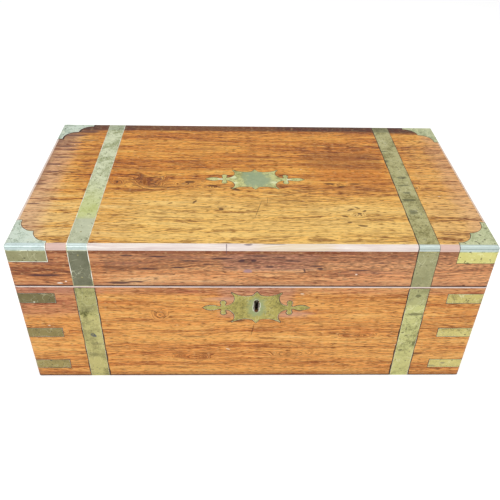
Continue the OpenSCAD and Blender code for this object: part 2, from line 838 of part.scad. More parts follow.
module flap_board(side, front) {
    difference() {
        slope_box(side, flap_w, front, flap_back(side), flap_drop, flap_depth);
        leather(side, front, inlay_gap);
    }
}

module bearers(side, y0) {
    intersection() {
        on_slope()
            for (sx = [-1, 1])
                translate([sx * (inner_w / 2 - bearer_w / 2), 0, 0])
                    slope_box(
                        side, bearer_w, -reach, 0,
                        flap_depth + rest_gap, flap_depth + rest_gap + bearer_h
                    );
        inside(y0);
    }
}

// The sliding catch is a dovetailed bar in the lid flap's front margin
module catch_bar(length, grow = 0) {
    half = catch_w / 2 + grow;
    depth = catch_t + grow;
    translate([0, lid_flap_front + length, flap_drop]) rotate([90, 0, 0])
        linear_extrude(length)
            polygon([
                [-half, grow > 0 ? -over : 0],
                [-half - catch_flare, depth],
                [half + catch_flare, depth],
                [half, grow > 0 ? -over : 0]
            ]);
}

// The slot in the lid's front edge and in the link plate that the catch slides into
module catch_slot() {
    on_slope() translate([0, -catch_travel - flap_gap - catch_gap, 0])
        catch_bar(catch_travel + flap_gap + over, catch_gap);
}

// Base: wooden pieces

module base_front() {
    color("#a5592c")
        difference() {
            base_wall(0);
            for (sx = [-1, 1]) {
                base_front_strap(sx, inlay_gap);
                base_front_pins(sx) strap_pin(screw_gap);
            }
            all_corner_straps(inlay_gap);
            lance_recess_front();
            keyhole_cut(seat_gap, -case_d / 2 - over, lock_back_y + over);
            lock_mortise();
        }
}

module base_back() {
    color("#9a5028")
        difference() {
            base_wall(2);
            for (sx = [-1, 1]) {
                base_back_strap(sx, inlay_gap);
                base_back_pins(sx) strap_pin(screw_gap);
            }
            all_corner_straps(inlay_gap);
            hinge_recess(-1);
        }
}

module base_side(side, sx) {
    difference() {
        base_wall(side);
        all_corner_straps(inlay_gap);
        at_handle(sx) handle_recess();
    }
}

module base_left() {
    color("#9d532a") base_side(3, -1);
}

module base_right() {
    color("#9d532a") base_side(1, 1);
}

module base_bottom() {
    color("#7d4526") translate([-inner_w / 2, -inner_d / 2, 0]) cube([inner_w, inner_d, panel_t]);
}

module tray_divider() {
    color("#8a4a28")
        intersection() {
            translate([-inner_w / 2, divider_y, panel_t]) cube([inner_w, divider_t, case_h]);
            below_joint(divider_drop);
        }
}

module tray_shelf() {
    color("#8a4a28")
        translate([-inner_w / 2, -inner_d / 2, shelf_z - shelf_t]) cube([inner_w, tray_d, shelf_t]);
}

module base_bearers() {
    color("#7d4526") bearers(-1, well_y);
}

module pen_tray() {
    l = tray_l - 2 * loose_gap;
    d = tray_d - 2 * loose_gap;
    color("#8f4d2a")
        difference() {
            translate([-l / 2, ink_y - d / 2, shelf_z]) cube([l, d, tray_top_z - shelf_z]);
            translate([-l / 2 + tray_end_t, ink_y - d / 2 - over, shelf_z - over])
                cube([l - 2 * tray_end_t, d + 2 * over, tray_top_z - tray_slab_t - shelf_z + over]);
            translate([0, ink_y, tray_top_z + trough_r - trough_depth])
                x_cylinder(l - 2 * tray_end_t, trough_r);
        }
}

// Base: ink

module inkwell(sx) {
    color([0.78, 0.86, 0.85, 0.5])
        translate([sx * ink_x, ink_y, shelf_z])
            difference() {
                union() {
                    linear_extrude(ink_h) round_rect(ink_w, ink_w, ink_r);
                    cylinder(h = ink_h + ink_neck_h, r = ink_neck_r);
                }
                translate([0, 0, ink_floor_t])
                    cylinder(h = ink_h - ink_floor_t - ink_shoulder_t, r = ink_bore_r);
                translate([0, 0, ink_h / 2]) cylinder(h = ink_h, r = ink_mouth_r);
            }
}

module inkwell_left() {
    inkwell(-1);
}

module inkwell_right() {
    inkwell(1);
}

module inkwell_cap(sx) {
    skirt_h = ink_neck_h - loose_gap;
    top_r = ink_cap_in_r + ink_cap_t;
    color("#a89a58")
        translate([sx * ink_x, ink_y, shelf_z + ink_h + loose_gap])
            difference() {
                union() {
                    cylinder(h = skirt_h, r = top_r);
                    translate([0, 0, skirt_h]) cylinder(h = 2 * ink_cap_t, r1 = top_r, r2 = ink_mouth_r);
                }
                translate([0, 0, -over]) cylinder(h = skirt_h + over + seat_gap, r = ink_cap_in_r);
            }
}

module inkwell_cap_left() {
    inkwell_cap(-1);
}

module inkwell_cap_right() {
    inkwell_cap(1);
}

// Lock

module at_lock_screws(side) {
    for (sx = [-1, 1])
        on_slope()
            translate([
                plate_x + sx * (lock_plate_l / 2 - lock_screw_edge),
                lock_plate_y - lock_plate_w / 2,
                side * joint_gap / 2
            ])
                rotate([side > 0 ? 180 : 0, 0, 0]) children();
}

// The top plate of the lock (-1) or the link plate on the lid (1)
module lock_plate(side, grow = 0) {
    on_slope() translate([plate_x, 0, 0])
        slope_box(
            side, lock_plate_l + 2 * grow,
            lock_plate_y - lock_plate_w - grow, lock_plate_y + (grow > 0 ? over : 0),
            grow > 0 ? 0 : joint_gap / 2, lock_under + (grow > 0 ? seat_gap : 0)
        );
}

module lock_mortise() {
    lock_plate(-1, lock_gap);
    translate([plate_x - lock_w / 2 - lock_gap, lock_front_y - lock_gap, lock_z - lock_gap])
        cube([lock_w + 2 * lock_gap, lock_depth + lock_gap + over, case_h]);
    at_lock_screws(-1) screw(screw_gap);
}

module hook_slots() {
    for (sx = [-1, 1])
        on_slope()
            translate([plate_x + sx * hook_x - beak_l / 2, hook_y, 0])
                cube(
                    [hook_w + beak_l + 2 * hook_gap, hook_t + 2 * hook_gap, 3 * lock_under],
                    center = true
                );
}

module lock_case() {
    color("#9c8c4c")
        difference() {
            union() {
                intersection() {
                    difference() {
                        translate([plate_x - lock_w / 2, lock_front_y, lock_z])
                            cube([lock_w, lock_cap_y - lock_front_y, case_h]);
                        translate([plate_x - lock_w / 2 + lock_wall, lock_face_y, lock_z + lock_wall])
                            cube([lock_w - 2 * lock_wall, lock_depth, case_h]);
                    }
                    below_joint(joint_gap / 2 + lock_plate_t / 2);
                }
                lock_plate(-1);
                for (sx = [-1, 1])
                    translate([plate_x + sx * guide_x, bolt_y + bolt_t, bolt_z + bolt_h / 2])
                        rotate([90, 0, 0]) cylinder(h = bolt_gap + bolt_t + lock_wall / 2, r = guide_r);
            }
            hook_slots();
            keyhole_cut(0, lock_front_y - over, lock_face_y + over / 2);
            at_lock_screws(-1) screw(screw_gap);
        }
}

module lock_cap() {
    color("#a39350") {
        intersection() {
            translate([plate_x - lock_w / 2, lock_cap_y, lock_z]) cube([lock_w, lock_wall, case_h]);
            below_joint(lock_under + seat_gap);
        }
        translate([plate_x, lock_cap_y, key_pin_z]) rotate([90, 0, 0])
            cylinder(h = lock_cap_y + case_d / 2 - key_pin_sink, r = key_pin_r);
        translate([plate_x - lever_pivot_x, lock_cap_y, lever_pivot_z]) rotate([90, 0, 0])
            cylinder(h = lock_cap_y - lever_y, r = lever_pivot_r);
    }
}

// The bolt slides sideways, and its two fingers pass over the beaks of the hooks
module lock_bolt() {
    left = -hook_x - hook_w / 2 - 2 * beak_l - bolt_gap - hook_gap - riser_w;
    right = guide_x + guide_r + bolt_gap + riser_w;
    color("#8d8458")
        translate([plate_x, bolt_y, 0])
            difference() {
                union() {
                    translate([left, 0, bolt_z]) cube([right - left, bolt_t, bolt_h]);
                    for (sx = [-1, 1]) {
                        tip = sx * hook_x - hook_w / 2 - beak_l - hook_gap;
                        translate([tip - finger_l - riser_w, 0, bolt_z])
                            cube([riser_w, bolt_t, finger_z + finger_t - bolt_z]);
                        translate([tip - finger_l - riser_w, 0, finger_z])
                            cube([finger_l + riser_w, bolt_t, finger_t]);
                    }
                }
                for (sx = [-1, 1])
                    translate([
                        sx * guide_x - bolt_travel - guide_r - bolt_gap,
                        -over,
                        bolt_z + bolt_h / 2 - guide_r - bolt_gap / 2
                    ])
                        cube([
                            bolt_travel + 2 * guide_r + 2 * bolt_gap,
                            bolt_t + 2 * over,
                            2 * guide_r + bolt_gap
                        ]);
                translate([-talon_w / 2, -over, bolt_z - over])
                    cube([talon_w, bolt_t + 2 * over, talon_h + over]);
            }
}

module lock_lever() {
    px = -lever_pivot_x;
    pz = lever_pivot_z;
    r = lever_pivot_r;
    color("#94864a")
        translate([plate_x, lever_y + lever_t, 0]) rotate([90, 0, 0])
            difference() {
                union() {
                    translate([px, pz, 0]) cylinder(h = lever_t, r = 2 * r);
                    linear_extrude(lever_t)
                        polygon([
                            [px - r, pz + r], [-lever_bend_x, lever_top_z], [lever_reach, lever_top_z],
                            [lever_reach, lever_top_z - lever_h],
                            [lever_h - lever_bend_x, lever_top_z - lever_h], [px + r, pz - r]
                        ]);
                }
                translate([px, pz, -over]) cylinder(h = lever_t + 2 * over, r = r + pin_gap);
            }
}

// A leaf bent back under the top plate, which presses the lever down
module lock_spring() {
    low_z = spring_top_z - 2 * spring_bend_r;
    tip_z = lever_top_z + rest_gap;
    color("#6f6f6c")
        translate([plate_x, lever_y + lever_t, 0]) rotate([90, 0, 0])
            linear_extrude(lever_t) {
                translate([spring_x - spring_upper_l, spring_top_z - spring_t])
                    square([spring_upper_l, spring_t]);
                translate([spring_x, spring_top_z - spring_bend_r])
                    intersection() {
                        difference() {
                            circle(spring_bend_r);
                            circle(spring_bend_r - spring_t);
                        }
                        translate([0, -spring_bend_r]) square(2 * spring_bend_r);
                    }
                polygon([
                    [spring_x, low_z], [spring_x, low_z + spring_t],
                    [spring_x - spring_lower_l, tip_z + spring_t], [spring_x - spring_lower_l, tip_z]
                ]);
            }
}

// Base: brass

module lance_recess_front() {
    translate([plate_x, -case_d / 2 + brass_t + seat_gap, plate_z]) rotate([90, 0, 0])
        lance_plate(brass_t + over, inlay_gap);
}

module escutcheon() {
    color("#9b8e4b")
        difference() {
            translate([plate_x, -case_d / 2 + brass_t, plate_z]) rotate([90, 0, 0]) lance_plate(brass_t);
            keyhole_cut(0, -case_d / 2 - over, -case_d / 2 + brass_t + over);
        }
}

module base_strap_left() {
    color("#8f8a45")
        difference() {
            base_front_strap(-1);
            base_front_pins(-1) strap_pin(screw_gap);
        }
}

module base_strap_right() {
    color("#8f8a45")
        difference() {
            base_front_strap(1);
            base_front_pins(1) strap_pin(screw_gap);
        }
}

module base_back_straps() {
    color("#878243")
        for (sx = [-1, 1])
            difference() {
                base_back_strap(sx);
                base_back_pins(sx) strap_pin(screw_gap);
            }
}

module base_corner_straps() {
    color("#8f8a45") all_corner_straps();
}

module base_strap_pins() {
    color("#b5a765")
        for (sx = [-1, 1]) {
            base_front_pins(sx) strap_pin();
            base_back_pins(sx) strap_pin();
        }
}

module base_hinge_leaves() {
    color("#9b8e4b") at_hinges() hinge_leaf(-1);
}

module hinge_pins() {
    color("#b5a765") at_hinges() x_cylinder(hinge_l, hinge_pin_r);
}

module base_screws() {
    color("#b5a765") {
        at_hinges() at_leaf_screws(-1) screw();
        at_lock_screws(-1) screw();
        for (sx = [-1, 1])
            at_handle(sx) at_handle_screws() screw();
    }
}

// Side handles, drawn with X along the plate, Y up and Z pointing out of the case

module at_handle(sx) {
    mirror([sx > 0 ? 0 : 1, 0, 0]) translate([case_w / 2, 0, handle_z]) rotate([90, 0, 90]) children();
}

module at_handle_screws() {
    for (x = [-1, 1], y = [-1, 1])
        translate([
            x * (handle_l / 2 - 2 * screw_head_r),
            y * (handle_h / 2 - 2 * screw_head_r),
            0
        ]) children();
}

module handle_recess() {
    translate([0, 0, -brass_t - seat_gap])
        linear_extrude(brass_t + seat_gap + over)
            round_rect(handle_l + 2 * inlay_gap, handle_h + 2 * inlay_gap, handle_r + inlay_gap);
    translate([0, 0, -pan_depth - pan_back_t - seat_gap])
        linear_extrude(pan_depth + pan_back_t + over)
            round_rect(
                pan_l + 2 * pan_wall + 2 * inlay_gap,
                pan_h + 2 * pan_wall + 2 * inlay_gap,
                pan_r + pan_wall + inlay_gap
            );
    at_handle_screws() screw(screw_gap);
}

module handle_plate() {
    difference() {
        union() {
            translate([0, 0, -brass_t]) linear_extrude(brass_t) round_rect(handle_l, handle_h, handle_r);
            translate([0, 0, -pan_depth - pan_back_t]) linear_extrude(pan_depth + pan_back_t)
                round_rect(pan_l + 2 * pan_wall, pan_h + 2 * pan_wall, pan_r + pan_wall);
        }
        translate([0, 0, -pan_depth]) linear_extrude(pan_depth + over) round_rect(pan_l, pan_h, pan_r);
        translate([0, bail_pivot_y, -bail_sink])
            x_cylinder(pan_l + 2 * bail_pin_l + 2 * pin_gap, bail_pin_r + pin_gap);
        at_handle_screws() screw(screw_gap);
    }
}

module handle_bail() {
    arm_x = pan_l / 2 - bail_gap - bail_r;
    arm_l = bail_pivot_y + bail_grip_y;
    translate([0, bail_pivot_y, -bail_sink]) {
        for (sx = [-1, 1]) {
            translate([sx * arm_x, bail_r, 0])
                rotate([90, 0, 0]) cylinder(h = arm_l - bail_bend_r + bail_r, r = bail_r);
            mirror([sx > 0 ? 0 : 1, 0, 0])
                translate([arm_x - bail_bend_r, bail_bend_r - arm_l, 0])
                    rotate([0, 0, -90]) rotate_extrude(angle = 90)
                        translate([bail_bend_r, 0]) circle(bail_r);
            translate([sx * (arm_x + pan_l / 2 + bail_pin_l) / 2, 0, 0])
                x_cylinder(pan_l / 2 + bail_pin_l - arm_x, bail_pin_r);
        }
        translate([0, -arm_l, 0]) x_cylinder(2 * (arm_x - bail_bend_r), bail_r);
    }
}

module handle_plate_left() {
    color("#9b8e4b") at_handle(-1) handle_plate();
}

module handle_plate_right() {
    color("#9b8e4b") at_handle(1) handle_plate();
}

module handle_bail_left() {
    color("#a89a58") at_handle(-1) handle_bail();
}

module handle_bail_right() {
    color("#a89a58") at_handle(1) handle_bail();
}

// Writing flap of the base

module base_flap() {
    color("#8f4a26") on_slope() flap_board(-1, base_flap_front);
}

module base_flap_leather() {
    color("#5a2a22") on_slope() leather(-1, base_flap_front);
}

// A leather tab that lifts the base flap
module base_flap_tab() {
    color("#4a2019")
        on_slope()
            slope_box(
                -1, tab_w, base_flap_front - tab_l, base_flap_front + tab_l,
                flap_drop - tab_t, flap_drop
            );
}

module base_flap_fixed_leaves() {
    color("#9b8e4b") at_flap_axis(-1) flap_fixed_leaf(-1);
}

module base_flap_moving_leaves() {
    color("#9b8e4b") at_flap_axis(-1) flap_moving_leaf(-1);
}

module base_flap_pins() {
    color("#b5a765") at_flap_axis(-1) x_cylinder(flap_hinge_l, flap_pin_r);
}

// Lid: wooden pieces

module lid_top() {
    color("#b0642c")
        difference() {
            intersection() {
                case_form();
                translate([-case_w, -case_d, case_h - panel_t])
                    cube([2 * case_w, 2 * case_d, panel_t + over]);
            }
            lid_brass_recesses();
            translate([plate_x, -plate_top_y, case_h - brass_t - seat_gap])
                lance_plate(brass_t + over, inlay_gap);
        }
}

module lid_brass_recesses() {
    for (sx = [-1, 1]) {
        lid_strap(sx, inlay_gap);
        lid_pins(sx) strap_pin(screw_gap);
        for (sy = [-1, 1]) lid_corner(sx, sy, inlay_gap);
    }
}

module lid_front() {
    color("#a0552b")
        difference() {
            lid_wall(0);
            lid_brass_recesses();
            lock_plate(1, lock_gap);
            at_lock_screws(1) screw(screw_gap);
            catch_slot();
        }
}

module lid_back() {
    color("#964e28")
        difference() {
            lid_wall(2);
            lid_brass_recesses();
            hinge_recess(1);
        }
}

module lid_left() {
    color("#9d532a")
        difference() {
            lid_wall(3);
            lid_brass_recesses();
        }
}

module lid_right() {
    color("#9d532a")
        difference() {
            lid_wall(1);
            lid_brass_recesses();
        }
}

module lid_bearers() {
    color("#7d4526") bearers(1, -inner_d / 2);
}

// Writing flap of the lid

module lid_flap() {
    color("#8f4a26")
        on_slope()
            difference() {
                flap_board(1, lid_flap_front);
                translate([0, -over, 0]) catch_bar(catch_l + catch_gap + over, catch_gap);
            }
}

module lid_flap_leather() {
    color("#5a2a22") on_slope() leather(1, lid_flap_front);
}

module lid_flap_catch() {
    color("#a89a58")
        on_slope()
            difference() {
                catch_bar(catch_l);
                translate([0, lid_flap_front + catch_l / 2, flap_drop - catch_groove_r / 2])
                    x_cylinder(catch_w - 2 * catch_groove_r, catch_groove_r);
            }
}

module lid_flap_fixed_leaves() {
    color("#9b8e4b") at_flap_axis(1) flap_fixed_leaf(1);
}

module lid_flap_moving_leaves() {
    color("#9b8e4b") at_flap_axis(1) flap_moving_leaf(1);
}

module lid_flap_pins() {
    color("#b5a765") at_flap_axis(1) x_cylinder(flap_hinge_l, flap_pin_r);
}

// Lid: metal pieces

module lid_hinge_leaves() {
    color("#9b8e4b") at_hinges() hinge_leaf(1);
}

// The link plate carries two hooks that drop into the lock
module link_plate() {
    color("#9c8c4c")
        difference() {
            union() {
                lock_plate(1);
                for (sx = [-1, 1])
                    on_slope()
                        translate([plate_x + sx * hook_x - hook_w / 2, hook_y - hook_t / 2, -hook_l]) {
                            cube([hook_w, hook_t, hook_l + lock_under / 2]);
                            translate([-beak_l, 0, 0]) cube([beak_l + hook_w / 2, hook_t, beak_h]);
                        }
            }
            at_lock_screws(1) screw(screw_gap);
            catch_slot();
        }
}

module lid_screws() {
    color("#b5a765") {
        at_hinges() at_leaf_screws(1) screw();
        at_lock_screws(1) screw();
    }
}

module cartouche() {
    color("#b3a55e")
        translate([plate_x, -plate_top_y, case_h - brass_t]) lance_plate(brass_t);
}

module lid_strap_left() {
    color("#9a9356")
        difference() {
            lid_strap(-1);
            lid_pins(-1) strap_pin(screw_gap);
        }
}

module lid_strap_right() {
    color("#9a9356")
        difference() {
            lid_strap(1);
            lid_pins(1) strap_pin(screw_gap);
        }
}

module lid_strap_pins() {
    color("#b5a765")
        for (sx = [-1, 1])
            lid_pins(sx) strap_pin();
}

module lid_corner_front_left() {
    color("#9a9356") lid_corner(-1, -1);
}

module lid_corner_front_right() {
    color("#9a9356") lid_corner(1, -1);
}

module lid_corner_back_left() {
    color("#9a9356") lid_corner(-1, 1);
}

module lid_corner_back_right() {
    color("#9a9356") lid_corner(1, 1);
}

base_front();
base_back();
base_left();
base_right();
base_bottom();
tray_divider();
tray_shelf();
base_bearers();
pen_tray();
inkwell_left();
inkwell_right();
inkwell_cap_left();
inkwell_cap_right();
lock_case();
lock_cap();
lock_bolt();
lock_lever();
lock_spring();
escutcheon();
base_strap_left();
base_strap_right();
base_back_straps();
base_corner_straps();
base_strap_pins();
base_hinge_leaves();
hinge_pins();
base_screws();
handle_plate_left();
handle_plate_right();
handle_bail_left();
handle_bail_right();
base_flap();
base_flap_leather();
base_flap_tab();
base_flap_fixed_leaves();
base_flap_moving_leaves();
base_flap_pins();
lid_top();
lid_front();
lid_back();
lid_left();
lid_right();
lid_bearers();
lid_flap();
lid_flap_leather();
lid_flap_catch();
lid_flap_fixed_leaves();
lid_flap_moving_leaves();
lid_flap_pins();
lid_hinge_leaves();
link_plate();
lid_screws();
cartouche();
lid_strap_left();
lid_strap_right();
lid_strap_pins();
lid_corner_front_left();
lid_corner_front_right();
lid_corner_back_left();
lid_corner_back_right();
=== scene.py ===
"""Looks of a brass-bound writing box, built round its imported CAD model.

The boards are a waxed, open-pored red-brown hardwood. The bands, corners and the
two lance plates are sheet brass let in flush, which has aged to a dull green-yellow.
"""
import math
import bpy
import numpy as np
from mathutils import Matrix, Vector


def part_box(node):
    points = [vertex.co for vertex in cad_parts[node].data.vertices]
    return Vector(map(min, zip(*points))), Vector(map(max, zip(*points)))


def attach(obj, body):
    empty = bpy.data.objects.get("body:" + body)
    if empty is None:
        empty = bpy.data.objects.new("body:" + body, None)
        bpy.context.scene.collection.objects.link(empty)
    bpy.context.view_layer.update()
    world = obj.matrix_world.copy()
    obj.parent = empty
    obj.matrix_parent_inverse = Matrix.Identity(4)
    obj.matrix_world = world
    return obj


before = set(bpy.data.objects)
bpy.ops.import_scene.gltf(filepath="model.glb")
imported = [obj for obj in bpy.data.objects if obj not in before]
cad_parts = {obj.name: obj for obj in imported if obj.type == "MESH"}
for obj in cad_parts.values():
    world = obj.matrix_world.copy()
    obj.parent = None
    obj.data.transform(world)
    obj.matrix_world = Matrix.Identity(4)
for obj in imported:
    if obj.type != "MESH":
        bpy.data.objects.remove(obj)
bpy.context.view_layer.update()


# The boards of the case: a dense red-brown hardwood, mitred at the corners, oiled and
# waxed. Handling has worn the arrises pale, and a painted highlight lies on them too; the
# front of the top is painted lighter and more golden, a painted sheen; damp has left
# purple-brown stains at the ends, and the wood is darker along the back edge.
MM = 0.001
CASE_W, CASE_D, CASE_H = 460 * MM, 252 * MM, 177 * MM
TOP_ROUND, FOOT_ROUND = 4 * MM, 1.2 * MM    # radius of the upright and top edges, and of the edge below
BRIM_Z = (CASE_H - TOP_ROUND) / MM          # where the rounded top edge begins, in mm
JOINT_BACK = (126.2 * MM, 88.5 * MM)        # y and z of the slanted joint at the back of the case
JOINT_SLOPE = math.radians(8.9902)


def colour(code):
    """An sRGB hex code as the linear colour that a socket holds."""
    parts = [int(code[i:i + 2], 16) / 255 for i in (1, 3, 5)]
    return [p / 12.92 if p <= 0.04045 else ((p + 0.055) / 1.055) ** 2.4 for p in parts] + [1]


def add(tree, kind, *sockets, out=0, stops=(), **rest):
    """Adds one node with its settings and links, and gives one of its outputs. Sockets fill
    in order, and None skips one. In rest a name with a capital is a socket, with _ for a
    space, and any other is a setting. stops are a ramp's (place, hex code or grey) pairs."""
    node = tree.nodes.new("ShaderNode" + kind)
    for name, value in rest.items():
        if name[0].islower():
            setattr(node, name, value)
    for k, (at, tone) in enumerate(stops):
        band = node.color_ramp.elements
        stop = band[k] if k < len(band) else band.new(at)
        stop.position = at
        stop.color = colour(tone) if isinstance(tone, str) else (tone, tone, tone, 1)
    pairs = list(zip([socket for socket in node.inputs if socket.enabled], sockets))
    pairs += [(node.inputs[name.replace("_", " ")], value) for name, value in rest.items()
              if name[0].isupper()]
    for socket, value in pairs:
        if isinstance(value, bpy.types.NodeSocket):
            tree.links.new(value, socket)
        elif value is not None:
            socket.default_value = value
    if out is None or not node.outputs:
        return node
    return node.outputs[out] if isinstance(out, str) else [s for s in node.outputs if s.enabled][out]


def start(name):
    """A new material, with the place on the object in metres and its coordinates X, Y, Z
    and J, the height above the plane of the slanted joint."""
    material = bpy.data.materials.new(name)
    material.use_nodes = True
    tree = material.node_tree
    tree.nodes.clear()
    place = add(tree, "TexCoord", out="Object")
    axes = dict(zip("XYZ", add(tree, "SeparateXYZ", place, out=None).outputs))
    upright = (0, math.sin(JOINT_SLOPE), math.cos(JOINT_SLOPE))
    rise = add(tree, "VectorMath", place, upright, operation="DOT_PRODUCT", out="Value")
    joint_rise = JOINT_BACK[0] * upright[1] + JOINT_BACK[1] * upright[2]
    axes["J"] = add(tree, "Math", rise, joint_rise, operation="SUBTRACT")
    return material, tree, place, axes


def zone(tree, axes, limits):
    """A part of the piece as a share from 0 to 1: the product of soft steps, each of which
    rises from one place in mm to another along an axis."""
    share = None
    for axis, a, b in limits:
        step = add(tree, "MapRange", axes[axis], a * MM, b * MM, interpolation_type="SMOOTHSTEP")
        share = step if share is None else add(tree, "Math", share, step, operation="MULTIPLY")
    return share


def stained(tree, axes, body, patchy, stains):
    """A tint over parts of the piece. A noise frets each part's edge, from 0 for a patch with
    a sharp edge and whole inside to 1 for one that is broken up all over. A part with None
    for it has no edge, and fades out over its soft steps."""
    SHARE_WEIGHT, EDGE_FROM, EDGE_TO, FRETTING = 2, 1.2, 1.8, 0.85
    for limits, tint, amount, broken in stains:
        share = zone(tree, axes, limits)
        if broken is None:
            share = add(tree, "Math", share, amount, operation="MULTIPLY")
        else:
            share = add(tree, "Math", share, SHARE_WEIGHT, patchy, operation="MULTIPLY_ADD")
            share = add(tree, "MapRange", share, EDGE_FROM + FRETTING * broken, EDGE_TO + FRETTING * broken,
                        0, amount)
        body = add(tree, "Mix", share, body, colour(tint), data_type="RGBA")
    return body


def spotted(tree, place, body, ragged, front, spots):
    """Soft spots: each is an ellipse of (across, up, half length, half height, turn in degrees)
    in mm on the top or, where front is true, on the front, and a noise makes its edge ragged.
    The nearest spot counts, at its distance over its radius."""
    THROUGH = 60            # half of a spot's reach through the board, in mm
    RAGGEDNESS, RIM_AT = 1.1, 1.55
    for tint, amount, soft, ovals in spots:
        nearest = None
        for u, v, half_u, half_v, turn in ovals:
            if front:
                centre, radii, spin = (u, -CASE_D / 2 / MM, v), (half_u, THROUGH, half_v), (0, -turn, 0)
            else:
                centre, radii, spin = (u, v, CASE_H / MM), (half_u, half_v, THROUGH), (0, 0, turn)
            near = add(tree, "Mapping", place, [c * MM for c in centre], [math.radians(a) for a in spin],
                       [r * MM for r in radii], vector_type="TEXTURE")
            far = add(tree, "VectorMath", near, operation="LENGTH", out="Value")
            nearest = far if nearest is None else add(tree, "Math", nearest, far, operation="MINIMUM")
        nearest = add(tree, "Math", ragged, RAGGEDNESS, nearest, operation="MULTIPLY_ADD")
        share = add(tree, "MapRange", nearest, RIM_AT, RIM_AT - soft, 0, amount,
                    interpolation_type="SMOOTHSTEP")
        body = add(tree, "Mix", share, body, colour(tint), data_type="RGBA")
    return body


